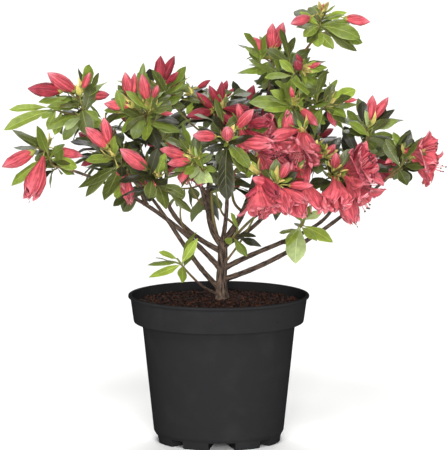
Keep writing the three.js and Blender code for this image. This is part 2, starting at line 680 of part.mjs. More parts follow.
/** How thick a bloom is at a share of its length. */
function girthAt(bloom, share) {
  const { outline } = BLOOMS[bloom.kind];
  for (let i = 1; i < outline.length; i += 1) {
    const [fromRadius, from] = outline[i - 1];
    const [toRadius, to] = outline[i];
    if (share <= to) return bloom.girth * THREE.MathUtils.mapLinear(share, from, to, fromRadius, toRadius);
  }
  return 0;
}

function bloomTouches(bloom, bead) {
  const axis = new THREE.Line3(bloom.base, bloom.tip);
  const share = axis.closestPointToPointParameter(bead.centre, true);
  const nearest = axis.at(share, new THREE.Vector3());
  return nearest.distanceTo(bead.centre) < girthAt(bloom, share) + bead.radius + LIMB_MARGIN;
}

/** Points down the middle of a bloom for the leaves to miss. */
const bloomBeads = (bloom) => [0.25, 0.5, 0.75, 1].map((share) =>
  ({ centre: bloom.base.clone().lerp(bloom.tip, share), radius: girthAt(bloom, share) - LIMB_MARGIN }));

function bloomSolid(bloom) {
  const { facets, outline } = BLOOMS[bloom.kind];
  const stalk = bloom.root.distanceTo(bloom.base);
  const profile = [[0, -TWIG.stalk], [TWIG.stalk, 0], [TWIG.stalk, stalk],
    ...outline.slice(1).map(([r, z]) => [r * bloom.girth, stalk + z * bloom.length])];
  const notch = (point) => {
    if (bloom.kind !== 'open' || Math.hypot(point.x, point.y) < bloom.girth * 0.9) return;
    const step = Math.round(Math.atan2(point.x, -point.y) / (Math.PI / 5));
    if (step % 2 !== 0) point.multiply(new THREE.Vector3(PETAL_NOTCH, PETAL_NOTCH, 0.9));
  };
  const geometry = turned(profile, facets, notch);
  geometry.applyQuaternion(bloom.turn).translate(bloom.root.x, bloom.root.y, bloom.root.z);
  return solidFrom(geometry);
}

// ---------------------------------------------------------------- the growing rule

const beads = [...limbs.values()].flatMap((limb) => limb.beads);
const GOLDEN_TURN = 137.5; // degrees from each leaf of a whorl to the next
// A leaf that doesn't fit is tried again with its lean turned, in degrees, and at a share of its reach.
const LEAF_TRIES = [[0, 1], [20, 1], [-20, 1], [0, 0.85], [40, 0.95], [-40, 0.95], [20, 0.8], [-20, 0.8]];

/** Which way a leaf turns its upper face: up and to the front, a little by chance. */
function leafFace(random, front) {
  const sway = (random() - 0.5) * 0.9;
  const nod = (random() - 0.5) * 0.5;
  return new THREE.Vector3(sway, -front + nod, 0.75).normalize();
}

/** The rule's own leaves, each a golden turn on from the last and leaning away from the front. */
function whorlRows(count, random) {
  const start = random() * 360;
  return Array.from({ length: count }, (_, i) =>
    [start + i * GOLDEN_TURN, 10 - random() * 75, 28 + random() * 14, 10 + random() * 5, 0.2]);
}

/** Where on its twig a leaf starts: the more it points back, the further down. */
function leafBase(twig, direction, order) {
  const onward = twig.getTangent(1);
  const back = ((1 - direction.dot(onward)) / 2) * TWIG.leafy * 0.7 + (order % 3) * TWIG.spacing;
  return twig.getPointAt(Math.max(0.12, 1 - back / twig.getLength()));
}

/** All that grows on one shoot: blooms at its tip, the leaves of its table row, then its whorl. */
function growShoot(name, one, twig, random, grown) {
  const inOwnSpace = (piece) => piece.corners.every((corner) => inSpace(name, corner));
  one.blooms.forEach(([kind, tilt, lean, reach, length], order) => {
    const tip = one.tip.clone().addScaledVector(heading(tilt, lean), reach);
    const bloom = layBloom(kind, twig.getPointAt(1 - (order * TWIG.spacing) / twig.getLength()), tip, length);
    if (inOwnSpace(bloom) && !beads.some((bead) => bloomTouches(bloom, bead))) grown.blooms.push(bloom);
  });
  const watched = [...beads, ...grown.blooms.flatMap(bloomBeads)];
  const rows = one.leaves.map((row) => [...row, 0.7]).concat(whorlRows(one.whorl, random));
  rows.forEach(([tilt, lean, reach, width, front], order) => {
    const face = leafFace(random, front);
    const tries = LEAF_TRIES.map(([turn, share]) => {
      const direction = heading(tilt, lean + turn);
      const tip = one.tip.clone().addScaledVector(direction, reach * share);
      return layLeaf(leafBase(twig, direction, order), tip, width, face);
    });
    const leaf = tries.find((blade) => inOwnSpace(blade) && !watched.some((bead) => leafTouches(blade, bead))
      && !grown.leaves.some((other) => leavesCross(blade, other)));
    if (leaf) grown.leaves.push(leaf);
  });
}

/** A mass's twigs: the first carries the bough's curve on to its shoot, the others fork off it. */
function twigCurves(bough, shoots) {
  const leafy = new Stretch(bough.whole, bough.bare, 1);
  const main = new Bent(new THREE.CatmullRomCurve3(
    [leafy.getPoint(0), leafy.getPoint(0.5), leafy.getPoint(1), shoots[0].tip]), 3);
  const forks = shoots.slice(1).map((one) => new Bent(new THREE.CatmullRomCurve3([
    main.getPointAt(TWIG.fork), main.getPointAt(TWIG.fork).lerp(one.tip, 0.5).setZ(one.tip.z - TWIG.bow), one.tip,
  ]), 2));
  return [main, ...forks];
}

function buildMass(name, shoots, number) {
  const random = seededRandom(SEED + number);
  const bough = limbs.get(`bough_${name}`);
  const twigs = twigCurves(bough, shoots);
  const solids = twigs.map((twig) => solidFrom(tube(twig, () => TWIG.radius, 3, twig.steps)));
  const grown = { blooms: [], leaves: [] };
  shoots.forEach((one, i) => growShoot(name, one, twigs[i], random, grown));
  solids.push(...grown.blooms.map(bloomSolid), ...grown.leaves.map(leafSolid));
  const fused = solids.reduce((whole, piece) => whole.add(piece));
  return mainBody(fused.subtract(limbSolid(bough, CLEARANCE)));
}

// ---------------------------------------------------------------- assembly

const finish = (colour, roughness) => new THREE.MeshStandardMaterial({ color: colour, roughness, metalness: 0 });

const azalea = new THREE.Group();

function addPiece(name, solid, material) {
  const mesh = new THREE.Mesh(geometryFrom(solid), material);
  mesh.name = name;
  azalea.add(mesh);
}

addPiece('pot', buildPot(), finish(COLOUR.pot, 0.45));
addPiece('soil', buildSoil(), finish(COLOUR.soil, 0.95));

const bark = finish(COLOUR.bough, 0.85);
for (const [name, solid] of buildLimbs()) {
  addPiece(name, solid, name === 'trunk' ? finish(COLOUR.trunk, 0.9) : bark);
}

const foliage = finish(COLOUR.foliage, 0.6);
Object.entries(MASSES).forEach(([name, shoots], number) => {
  addPiece(`foliage_${name}`, buildMass(name, shoots, number), foliage);
});

export default azalea;
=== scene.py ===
"""Evergreen azalea in a black three-litre nursery pot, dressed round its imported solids.

Metres, +Z up, front at -Y, origin at the middle of the pot's flat underside. The plant grows again
by the rule of its solids, on to finer twigs, and every surface gets the finish of the real one.
Directions on the plant are given as seen from the front: tilt is degrees up from +X in the XZ
plane, lean is degrees towards the front. Sizes in the tables are millimetres.
"""

import json
import logging
import math
from collections.abc import Callable, Iterable, Sequence
from dataclasses import dataclass, field
from enum import Enum

import bmesh
import bpy
import numpy as np
from bpy.types import Material, Mesh, Node, NodeSocket, NodeTree, Object
from mathutils import Matrix, Vector

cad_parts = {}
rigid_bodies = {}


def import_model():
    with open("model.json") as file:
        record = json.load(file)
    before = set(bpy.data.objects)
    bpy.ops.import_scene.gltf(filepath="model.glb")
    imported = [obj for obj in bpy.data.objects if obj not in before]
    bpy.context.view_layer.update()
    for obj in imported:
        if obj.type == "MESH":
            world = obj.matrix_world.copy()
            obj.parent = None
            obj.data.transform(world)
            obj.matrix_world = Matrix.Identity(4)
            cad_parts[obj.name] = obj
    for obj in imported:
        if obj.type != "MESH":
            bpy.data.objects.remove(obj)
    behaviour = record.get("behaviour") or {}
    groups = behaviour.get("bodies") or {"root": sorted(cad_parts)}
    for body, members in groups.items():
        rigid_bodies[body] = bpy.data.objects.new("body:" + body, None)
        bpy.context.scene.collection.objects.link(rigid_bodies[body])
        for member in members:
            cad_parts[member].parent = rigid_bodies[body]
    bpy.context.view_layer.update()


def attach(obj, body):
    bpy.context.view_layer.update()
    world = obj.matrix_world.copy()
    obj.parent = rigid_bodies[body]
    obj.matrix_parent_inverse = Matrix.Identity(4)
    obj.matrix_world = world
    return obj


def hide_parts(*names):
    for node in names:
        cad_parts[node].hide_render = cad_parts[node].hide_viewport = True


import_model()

MM = 0.001
LOG = logging.getLogger("azalea")

Array = np.ndarray
Pair = tuple[float, float]
Triple = tuple[float, float, float]
Faces = list[tuple[int, ...]]
# A stem: the points down its middle, root first, and the radius at each, in millimetres.
Stem = tuple[Array, Array]
# A piece of a form: its points, faces, part number, places along and to the edge, and grain.
Piece = tuple


# ---------------- small helpers


def linear(colour: str) -> tuple[float, float, float, float]:
    """Turns an sRGB hex value into a linear colour.

    Args:
        colour: The value as "#RRGGBB".

    Returns:
        Red, green and blue, and an alpha of one.
    """
    shares = [int(colour[place:place + 2], 16) / 255 for place in (1, 3, 5)]
    red, green, blue = [s / 12.92 if s <= 0.04045 else ((s + 0.055) / 1.055) ** 2.4 for s in shares]
    return red, green, blue, 1.0


def feed(tree: NodeTree, node: Node, inputs: dict) -> None:
    """Sets or links a node's inputs.

    Args:
        tree: The node's tree.
        node: The node.
        inputs: By the input's name or number: a value, an output socket, or a node for its first live output.
    """
    for key, value in inputs.items():
        if isinstance(value, Node):
            value = next(socket for socket in value.outputs if socket.enabled)
        if isinstance(value, NodeSocket):
            tree.links.new(value, node.inputs[key])
        else:
            node.inputs[key].default_value = value


def add_node(tree: NodeTree, kind: str, inputs: dict | None = None, **settings) -> Node:
    """Adds a node with its settings and its links.

    Args:
        tree: The tree that takes the node.
        kind: The node's type name.
        inputs: Its inputs, as feed takes them.
        **settings: Properties of the node itself.

    Returns:
        The new node.
    """
    node = tree.nodes.new(kind)
    for name, value in settings.items():
        setattr(node, name, value)
    feed(tree, node, inputs or {})
    return node


def new_tree(name: str, sockets: dict[str, str]) -> tuple[NodeTree, bpy.types.bpy_prop_collection]:
    """Starts a Geometry Nodes tree with named inputs and one geometry output.

    Args:
        name: The tree's name.
        sockets: What each input holds, such as Float, by its name.

    Returns:
        The tree, and the sockets that hand its inputs on.
    """
    tree = bpy.data.node_groups.new(name, "GeometryNodeTree")
    for socket, kind in sockets.items():
        tree.interface.new_socket(name=socket, in_out="INPUT", socket_type=f"NodeSocket{kind}")
    tree.interface.new_socket(name="Geometry", in_out="OUTPUT", socket_type="NodeSocketGeometry")
    return tree, add_node(tree, "NodeGroupInput").outputs


def end_tree(tree: NodeTree, geometry: Node, finish: NodeSocket) -> None:
    """Ends a tree that has one finish: makes its instances real and sets the finish.

    Args:
        tree: The tree.
        geometry: The node that gives what it has made.
        finish: The socket that gives the material.
    """
    real = add_node(tree, "GeometryNodeRealizeInstances", {"Geometry": geometry})
    dressed = add_node(tree, "GeometryNodeSetMaterial", {"Geometry": real, "Material": finish})
    add_node(tree, "NodeGroupOutput", {"Geometry": dressed})


def make_mesh(name: str, points: Sequence, faces: Sequence = (), edges: Sequence = ()) -> Mesh:
    """Makes a mesh.

    Args:
        name: Its name.
        points: Its points.
        faces: The corners of each face.
        edges: The ends of each loose edge.

    Returns:
        The mesh.
    """
    mesh = bpy.data.meshes.new(name)
    mesh.from_pydata(np.array(points).tolist(), list(edges), list(faces))
    return mesh


def mark(mesh: Mesh, name: str, values: Sequence, kind: str = "FLOAT", domain: str = "POINT") -> None:
    """Stores a value for each point or face of a mesh as a named attribute."""
    key = "vector" if kind == "FLOAT_VECTOR" else "value"
    mesh.attributes.new(name, kind, domain).data.foreach_set(key, np.array(values).ravel())


def release(work: bmesh.types.BMesh, mesh: Mesh) -> Mesh:
    """Puts what was worked on into a mesh.

    Args:
        work: The bmesh, which is used up.
        mesh: The mesh that takes it.

    Returns:
        That mesh.
    """
    work.to_mesh(mesh)
    work.free()
    return mesh


def crease(mesh: Mesh, fold: float, merge: float = 0.0) -> None:
    """Shades a mesh smooth but for the edges where it folds sharply.

    Args:
        mesh: The mesh.
        fold: How many degrees an edge folds to stay sharp.
        merge: Points nearer to each other than this are merged first.
    """
    work = bmesh.new()
    work.from_mesh(mesh)
    if merge:
        bmesh.ops.remove_doubles(work, verts=work.verts, dist=merge)
    for face in work.faces:
        face.smooth = True
    for edge in work.edges:
        edge.smooth = edge.calc_face_angle(math.pi) < math.radians(fold)
    release(work, mesh)


def add_object(name: str, mesh: Mesh) -> Object:
    """Puts a mesh into the scene.

    Args:
        name: The object's name.
        mesh: Its mesh.

    Returns:
        The object, at the origin.
    """
    thing = bpy.data.objects.new(name, mesh)
    bpy.context.scene.collection.objects.link(thing)
    return thing


def grow(name: str, start: Mesh, tree: NodeTree, inputs: dict,
         forms: Iterable[Object] = ()) -> Object:
    """Runs a Geometry Nodes tree on a mesh and keeps what it makes as a plain mesh.

    Args:
        name: The name of the finished piece.
        start: The mesh that the tree starts from; it is used up.
        tree: The Geometry Nodes tree.
        inputs: The value of each named input.
        forms: What the tree sets copies of, for its input "Forms"; they are used up.

    Returns:
        The finished piece, at the origin, with no modifier.
    """
    shelf = bpy.data.collections.new(f"{name}_forms")
    for form in forms:
        shelf.objects.link(form)
    values = inputs | {"Forms": shelf}
    seed = add_object(f"{name}_start", start)
    modifier = seed.modifiers.new(name, "NODES")
    modifier.node_group = tree
    for socket in tree.interface.items_tree:
        if socket.in_out == "INPUT" and socket.name in values:
            modifier[socket.identifier] = values[socket.name]
    depsgraph = bpy.context.evaluated_depsgraph_get()
    mesh = bpy.data.meshes.new_from_object(
        seed.evaluated_get(depsgraph), preserve_all_data_layers=True, depsgraph=depsgraph)
    seed.modifiers.remove(modifier)
    bpy.data.objects.remove(seed)
    for used in [start, *(thing.data for thing in shelf.objects)]:
        bpy.data.meshes.remove(used)
    bpy.data.collections.remove(shelf)
    mesh.name = name
    return add_object(name, mesh)


def settle(piece: Object, nodes: Iterable[str] = ()) -> None:
    """Ties a finished piece to the frame and reports it.

    Args:
        piece: The finished piece.
        nodes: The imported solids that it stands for.
    """
    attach(piece, "root")
    if nodes:
        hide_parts(*nodes)
    faces = sum(len(polygon.vertices) - 2 for polygon in piece.data.polygons)
    LOG.info("%s: %d triangles", piece.name, faces)


# ---------------- finishes


@dataclass(frozen=True)
class Finish:
    """What a surface is made of: its name and how it takes the light."""

    name: str
    roughness: float

    def start(self, sockets: dict) -> tuple[Material, NodeTree, Node]:
        """Starts the material with its plain values.

        Args:
            sockets: Values of the shader's own sockets.

        Returns:
            The material, its tree and its shader node.
        """
        material = bpy.data.materials.new(self.name)
        material.use_nodes = True
        tree = material.node_tree
        shader = tree.nodes["Principled BSDF"]
        feed(tree, shader, {"Roughness": self.roughness} | sockets)
        return material, tree, shader


@dataclass(frozen=True)
class Grained(Finish):
    """Lifeless stuff in two colours, which a noise mixes, with relief from that noise or a finer one.

    A noise is how many humps it has in a unit of length, and its detail. The spread is the noise's
    value where the light colour starts, where it is fullest, and how full that is. The relief is its
    strength and its depth in metres. The noises follow an attribute or the object's coordinates.
    """

    dark: str
    light: str
    gloss: float
    mottle: Pair
    spread: Triple
    relief: Pair
    peel: Pair | None = None
    ior: float = 1.5
    follows: str = ""

    def build(self) -> Material:
        """Builds the mottled stuff with its relief.

        Returns:
            The material.
        """
        material, tree, shader = self.start({"IOR": self.ior, "Specular IOR Level": self.gloss})
        if self.follows:
            place = add_node(tree, "ShaderNodeAttribute", attribute_name=self.follows).outputs["Vector"]
        else:
            place = add_node(tree, "ShaderNodeTexCoord").outputs["Object"]
        patches, humps = (
            add_node(tree, "ShaderNodeTexNoise", {"Vector": place, "Scale": scale, "Detail": detail})
            for scale, detail in (self.mottle, self.peel or self.mottle))
        low, high, full = self.spread
        share = add_node(tree, "ShaderNodeMapRange", {
            "Value": patches, "From Min": low, "From Max": high, "To Max": full})
        tint = add_node(tree, "ShaderNodeMix", {
            "Factor": share, 6: linear(self.dark), 7: linear(self.light)}, data_type="RGBA")
        strength, depth = self.relief
        bump = add_node(tree, "ShaderNodeBump", {"Strength": strength, "Distance": depth, "Height": humps})
        feed(tree, shader, {"Base Color": tint, "Normal": bump})
        return material


# Injection-moulded black polypropylene has a matt skin that mirrors next to nothing, a fine orange-peel of
# about 0.7 mm between its humps, and faint scuffs of handling in patches about 25 mm across.
POT_PLASTIC = Grained(
    "injection_moulded_black_polypropylene", 0.6, "#252526", "#2D2D2E", gloss=0.0, mottle=(40.0, 4.0),
    spread=(0.5, 0.8, 0.6), relief=(0.12, 0.0002), peel=(1400.0, 2.0), ior=1.49)
# Moist peat compost is matt, nearly black fibre, mottled red-brown at 3 mm, the size of a crumb.
PEAT = Grained(
    "moist_peat_compost", 0.95, "#0A0504", "#553020", gloss=0.2, mottle=(330.0, 5.0),
    spread=(0.46, 0.72, 1.0), relief=(0.7, 0.001))
# Azalea bark is thin and grey-brown, and flakes in strips about 1 mm wide and 8 mm long along the stem.
BARK = Grained(
    "azalea_bark", 0.85, "#1E150F", "#6B584A", gloss=0.3, mottle=(1.0, 4.0),
    spread=(0.38, 0.7, 1.0), relief=(0.5, 0.0004), follows="bark")


@dataclass(frozen=True)
class SoftGrowth(Finish):
    """Living tissue: a plain colour that varies from one leaf or petal to the next and from foot to tip.

    Side veins are a count along the leaf. Streaking is a share of the colour's lightness: streaky colour,
    with painted shade in the creases of the relief and painted highlight on its ridges.
    """

    foot: str
    tip: str
    rim: str | None = None
    mottle: float = 0.18
    glow: float = 0.0
    sheen: float = 0.0
    gloss: float = 0.35
    side_veins: float = 0.0
    streaks_and_shading: float = 0.0
    # The colour painted into a petal's creases, as painted shade.
    crease: str = "#000000"
    rim_start: float = 0.8
    # In metres: how deep light spreads below the skin, and the relief of veins and of a petal's creases.
    glow_depth: float = 0.002
    vein_depth: float = 0.00025
    crease_depth: float = 0.0008
    relief: float = 0.7
    # How far veins run forward as a share of the leaf, their width, and how pale they are.
    vein_sweep: float = 0.24
    vein_width: float = 0.1
    vein_pallor: float = 0.25

    def veins(self, tree: NodeTree, along: NodeSocket,
              edge: NodeSocket) -> Node:
        """Draws the side veins, which run out from the midrib and forward to the edge.

        Args:
            tree: The material's tree.
            along: The place along the leaf.
            edge: The place from the midrib to the edge.

        Returns:
            The node that gives one in a vein and zero between two.
        """
        run, sweep = (
            add_node(tree, "ShaderNodeMath", {0: place, 1: share * self.side_veins}, operation="MULTIPLY")
            for place, share in ((along, 1), (edge, self.vein_sweep)))
        phase = add_node(tree, "ShaderNodeMath", {0: run, 1: sweep}, operation="SUBTRACT")
        wave = add_node(tree, "ShaderNodeMath", {0: phase, 1: 0.5}, operation="PINGPONG")
        return add_node(tree, "ShaderNodeMapRange", {
            "Value": wave, "From Max": self.vein_width, "To Min": 1.0, "To Max": 0.0},
            interpolation_type="SMOOTHSTEP")

    def build(self) -> Material:
        """Builds the tissue: foot to tip colour, a pale rim that on petals is partly painted highlight,
        veins, streaky colour with painted shade and highlight along the relief, and mottling, with relief.

        Returns:
            The material.
        """
        material, tree, shader = self.start({
            "Subsurface Weight": self.glow, "Subsurface Scale": self.glow_depth, "Sheen Weight": self.sheen,
            "Specular IOR Level": self.gloss})
        along, edge, shade = (add_node(tree, "ShaderNodeAttribute", attribute_name=name).outputs["Fac"]
                              for name in ("along", "edge", "shade"))

        def dyed(tint: Node | tuple, share: Node, colour: str) -> Node:
            """Mixes a share of a colour into a tint."""
            inputs = {"Factor": share, 6: tint, 7: linear(colour)}
            return add_node(tree, "ShaderNodeMix", inputs, data_type="RGBA")

        tint = dyed(linear(self.foot), along, self.tip)
        height, depth = None, 0.0
        # A pale rim: on leaves their paler margin; on petals it is partly their paler edge and partly painted
        # highlight.
        if self.rim:
            margin = add_node(tree, "ShaderNodeMapRange", {
                "Value": edge, "From Min": self.rim_start, "To Max": 0.7})
            tint = dyed(tint, margin, self.rim)
        if self.side_veins:
            height, depth = self.veins(tree, along, edge), self.vein_depth
            share = add_node(tree, "ShaderNodeMath", {0: height, 1: self.vein_pallor}, operation="MULTIPLY")
            tint = dyed(tint, share, self.rim or self.tip)
        # Tissue mottles over about 6 mm, a third of a leaf's width.
        spots = add_node(tree, "ShaderNodeTexNoise", {
            "Vector": add_node(tree, "ShaderNodeTexCoord").outputs["Object"], "Scale": 170.0, "Detail": 3.0})
        strength = add_node(tree, "ShaderNodeMapRange", {
            "Value": spots, "From Min": 0.3, "From Max": 0.7,
            "To Min": 1 - self.mottle, "To Max": 1 + self.mottle})
        if self.streaks_and_shading:
            # A petal's streaky grain runs its whole length, about 0.8 mm between lines, and its creases
            # deepen. Where the relief sinks the colour darkens towards the crease colour, painted shade;
            # where it rises the colour is lightened, painted highlight.
            grain = add_node(tree, "ShaderNodeAttribute", attribute_name="grain").outputs["Vector"]
            height, depth = add_node(tree, "ShaderNodeTexNoise", {
                "Vector": grain, "Scale": 1.0, "Detail": 3.0, "Roughness": 0.6}), self.crease_depth
            low = add_node(tree, "ShaderNodeMapRange", {
                "Value": height, "From Min": 0.56, "From Max": 0.4, "To Max": self.streaks_and_shading * 2,
            }, interpolation_type="SMOOTHSTEP")
            tint = dyed(tint, low, self.crease)
            streak_shading = add_node(tree, "ShaderNodeMapRange", {
                "Value": height, "From Min": 0.4, "From Max": 0.68,
                "To Min": 1 - self.streaks_and_shading * 0.4, "To Max": 1 + self.streaks_and_shading})
            strength = add_node(tree, "ShaderNodeMath", {0: strength, 1: streak_shading}, operation="MULTIPLY")
        strength = add_node(tree, "ShaderNodeMath", {0: strength, 1: shade}, operation="MULTIPLY")
        tint = add_node(tree, "ShaderNodeVectorMath", {0: tint, "Scale": strength}, operation="SCALE")
        if height:
            bump = add_node(tree, "ShaderNodeBump", {
                "Strength": self.relief, "Distance": depth, "Height": height})
            feed(tree, shader, {"Normal": bump})
        feed(tree, shader, {"Base Color": tint})
        return material


class Tone(Enum):
    """The tones that leaves are dealt out in."""

    PALE = "pale"
    LIME = "lime"
    FRESH = "fresh"
    MID = "mid"
    DARK = "dark"


class Palette(Enum):
    """How many leaves of each tone a spray is dealt: shares of pale, lime, fresh, mid and dark."""

    TENDER = (0.1, 0.75, 0.15, 0.0, 0.0)
    WAN = (0.4, 0.3, 0.3, 0.0, 0.0)
    SUNLIT = (0.06, 0.28, 0.42, 0.2, 0.04)
    MIXED = (0.04, 0.1, 0.38, 0.34, 0.14)
    SHADY = (0.02, 0.06, 0.24, 0.4, 0.28)
    DEEP = (0.0, 0.04, 0.16, 0.4, 0.4)

    def deal(self, chance: float) -> Tone:
        """Deals a tone.

        Args:
            chance: A random number from 0 to 1.

        Returns:
            The tone.
        """
        for tone, share in zip(Tone, self.value):
            if chance < share:
                return tone
            chance -= share
        return Tone.DARK


PALE, LIME, FRESH, MID, DARK = Tone
TENDER, WAN, SUNLIT, MIXED, SHADY, DEEP = Palette

# Evergreen azalea leaves are leathery and slightly hairy: half-gloss above, matt and paler below. Each
# tone has the blade's name, its roughness, its foot, tip and rim, and the midrib's foot and tip.
LEAF_TONES = {
    PALE: ("young_azalea_leaf_pale", 0.55, "#93A266", "#9AAB6C", "#B9C391", "#C3CB92", "#A9B679"),
    LIME: ("young_azalea_leaf_lime", 0.5, "#76852F", "#738529", "#9CA85F", "#B0B868", "#8C9A3C"),
    FRESH: ("azalea_leaf_fresh_green", 0.45, "#69772C", "#647524", "#93A05C", "#9CA35E", "#748238"),
    MID: ("azalea_leaf_mid_green", 0.4, "#484F20", "#424A1B", "#737A46", "#7F854C", "#59622D"),
    DARK: ("old_azalea_leaf_dark_green", 0.36, "#272812", "#222310", "#47462A", "#5B6038", "#363C1E"),
}
LEAF_UNDER = SoftGrowth("azalea_leaf_underside", 0.7, "#7C854E", "#6D7844", mottle=0.1, side_veins=7.0)
# Petals are thin and soft: light goes through them, and fine hairs give them a faint sheen.
# Their crease colour is painted shade and their streaking paints highlight on the ridges; their pale rim is
# partly painted highlight, and their darker foot partly painted shade in the throat.
PETAL = SoftGrowth(
    "azalea_petal_rose", 0.6, "#B1474A", "#BC5560", "#DE9AA0", 0.24, 0.12, 0.06, 0.2, streaks_and_shading=0.32,
    crease="#8B2230", rim_start=0.35)
# A darker copy of the petal. A tenth of the blooms take it by chance, as deep red ones; every bloom behind
# the crown takes it, and there it is painted shade.
PETAL_DEEP_AND_SHADED = SoftGrowth(
    "azalea_petal_crimson", 0.6, "#87262E", "#92313F", "#B35C68", 0.22, 0.08, 0.05, 0.2, streaks_and_shading=0.32,
    crease="#62121F", rim_start=0.35)
# The bud's cup and stalk are green and downy, its scales are dry and papery, the stamens smooth.
CALYX = SoftGrowth("azalea_bud_cup", 0.7, "#83883A", "#A6985A", mottle=0.2)
SCALE = SoftGrowth("azalea_bud_scale", 0.75, "#9E9C46", "#BCA561", "#D3C596", mottle=0.25)
FILAMENT = SoftGrowth("azalea_stamen", 0.5, "#D98A84", "#C4606A", mottle=0.0)
ANTHER = SoftGrowth("azalea_anther", 0.8, "#4B2A2E", "#3A2226", mottle=0.0)
STALK = SoftGrowth("young_azalea_shoot", 0.6, "#5E4028", "#6E7038", mottle=0.2)


# ---------------- small forms that are set many times


@dataclass
class Form:
    """A small mesh along +X from its foot at 0 to its tip at 1, upper side towards +Z.

    Each face has the number of its part, and each point its place along, its share of the way to the
    edge and, on petals, a place that the grain follows.
    """

    points: Array
    faces: Faces
    parts: list[int]
    along: Array
    edge: Array
    grain: Array | None = None
    # How many degrees an edge folds to stay sharp.
    fold: float = 65.0

    def as_object(self, name: str) -> Object:
        """Makes the form an object, with creases where its faces fold sharply.

        Args:
            name: The object's name, which gives the form its number.

        Returns:
            The object, in no collection yet.
        """
        mesh = make_mesh(name, self.points, self.faces)
        mark(mesh, "part", self.parts, "INT", "FACE")
        mark(mesh, "along", self.along)
        mark(mesh, "edge", self.edge)
        if self.grain is not None:
            mark(mesh, "grain", self.grain, "FLOAT_VECTOR")
        crease(mesh, self.fold)
        return bpy.data.objects.new(name, mesh)


@dataclass(frozen=True)
class LeafForm:
    """A leaf one long and one wide. Its bends are shares of its length."""

    arch: float = 0.07
    cup: float = 0.05
    twist: float = 0.0
    sway: float = 0.0
    wave: float = 0.012
    # Along the leaf: place, and half its width there as a share of the widest.
    outline: tuple[Pair, ...] = (
        (0.0, 0.07), (0.08, 0.1), (0.2, 0.36), (0.35, 0.7), (0.5, 0.92), (0.64, 1.0),
        (0.78, 0.92), (0.89, 0.66), (0.96, 0.3))
    rib: float = 0.02
    groove: float = 0.008
    thickness: float = 0.011
    slimness: float = 0.34
    # The two points between rib and edge, as a share of the half width, and the keel's thickness.
    shoulder: float = 0.55
    keel: float = 1.6

    def place(self, share: float, across: float, lift: float) -> Triple:
        """Bends a point of the flat leaf: arched along, cupped across, twisted, swayed and waved.

        Args:
            share: Its place along the leaf.
            across: Its place across, from -0.5 to 0.5.
            lift: Its height over the flat leaf.

        Returns:
            The point.
        """
        roll = self.twist * (share - 0.3)
        crown = 4 * self.arch * share * (1 - share)
        droop = -self.cup * self.slimness * 8 * across ** 2
        ripple = self.wave * math.sin(share * 11 + across * 3) * abs(across) * 4
        rise = across * math.sin(roll) * self.slimness + droop + ripple
        return share, across * math.cos(roll) + self.sway * 4 * share * (1 - share), crown + rise + lift

    def build(self) -> Form:
        """Builds the blade as a closed shell: six points across the top, three across the underside.

        Returns:
            The form. Part 0 is the upper face, 1 the midrib, 2 the underside.
        """
        points, along, edge = [], [], []
        for share, width in self.outline:
            half = width / 2
            side = half * self.shoulder
            rib = min(self.rib, half * 0.5)
            low, thin = -self.groove, -self.thickness
            top = [(-half, 0.0), (-side, 0.0), (-rib, low), (rib, low), (side, 0.0), (half, 0.0)]
            under = [(-side, thin), (0.0, thin * self.keel), (side, thin)]
            for across, lift in top + under:
                points.append(self.place(share, across, lift))
                along.append(share)
                edge.append(abs(across) / half)
        points.append(self.place(1.0, 0.0, 0.0))
        faces, parts = [], []
        sides = [(0, 1), (1, 2), (2, 3), (3, 4), (4, 5), (5, 8), (8, 7), (7, 6), (6, 0)]
        tip = len(points) - 1
        for low in range(0, tip, len(sides)):
            high = low + len(sides)
            for number, (left, right) in enumerate(sides):
                if high < tip:
                    corners = (low + left, high + left, high + right, low + right)
                    # The underside splits along the same diagonals as the top, so neither cuts the other.
                    faces.append(corners if number < 5 else corners[1:] + corners[:1])
                else:
                    faces.append((low + left, tip, low + right))
                parts.append(1 if number == 2 else 0 if number < 5 else 2)
        faces.append((0, 1, 2, 3, 4, 5, 8, 7, 6))
        parts.append(2)
        return Form(np.array(points), faces, parts, np.array([*along, 1.0]), np.array([*edge, 1.0]))


def evenly(row: int, angle: float) -> Pair:
    """Leaves a ring as it is: no shift, and a factor of one."""
    return 0.0, 1.0


def ringed(rows: Sequence[Pair], columns: int,
           shape: Callable[[int, float], Pair] = evenly) -> tuple[Array, Faces]:
    """Builds a closed form of rings round +X between two points on its axis.

    Args:
        rows: Place along the axis and radius of each ring.
        columns: How many points each ring has.
        shape: Gives, for a ring's number and an angle, a shift along the axis and a factor on the radius.

    Returns:
        The points, first the foot, last the tip, and the faces.
    """
    points = [(rows[0][0], 0.0, 0.0)]
    for number, (place, radius) in enumerate(rows):
        for column in range(columns):
            angle = column / columns * math.tau
            shift, factor = shape(number, angle)
            reach = radius * factor
            points.append((place + shift, reach * math.cos(angle), reach * math.sin(angle)))
    points.append((rows[-1][0], 0.0, 0.0))
    faces: Faces = []
    last = len(points) - 1
    for column in range(columns):
        onward = (column + 1) % columns
        faces.append((0, 1 + onward, 1 + column))
        for low in range(1, 1 + (len(rows) - 1) * columns, columns):
            high = low + columns
            faces.append((low + column, low + onward, high + onward, high + column))
        top = last - columns
        faces.append((top + column, top + onward, last))
    return np.array(points), faces


def cup_of_scales(rows: Sequence[Pair], point: float, pace: float) -> Piece:
    """Builds the small cup that holds a bloom, with five pointed scales round its rim.

    Args:
        rows: Place along the axis and radius of each ring; the third and fourth are the rim.
        point: How far the scales stand out of the rim.
        pace: How fast its colour runs from foot to tip.

    Returns:
        The cup.
    """

    def scales(row: int, angle: float) -> Pair:
        """Draws the rim out into five points."""
        share = abs((angle / math.tau * 5) % 1 - 0.5) * 2
        return (point * share if row in (2, 3) else 0.0), 1.0

    points, faces = ringed(rows, 10, scales)
    return points, faces, 1, np.clip(points[:, 0] * pace, 0, 1), np.zeros(len(points)), points


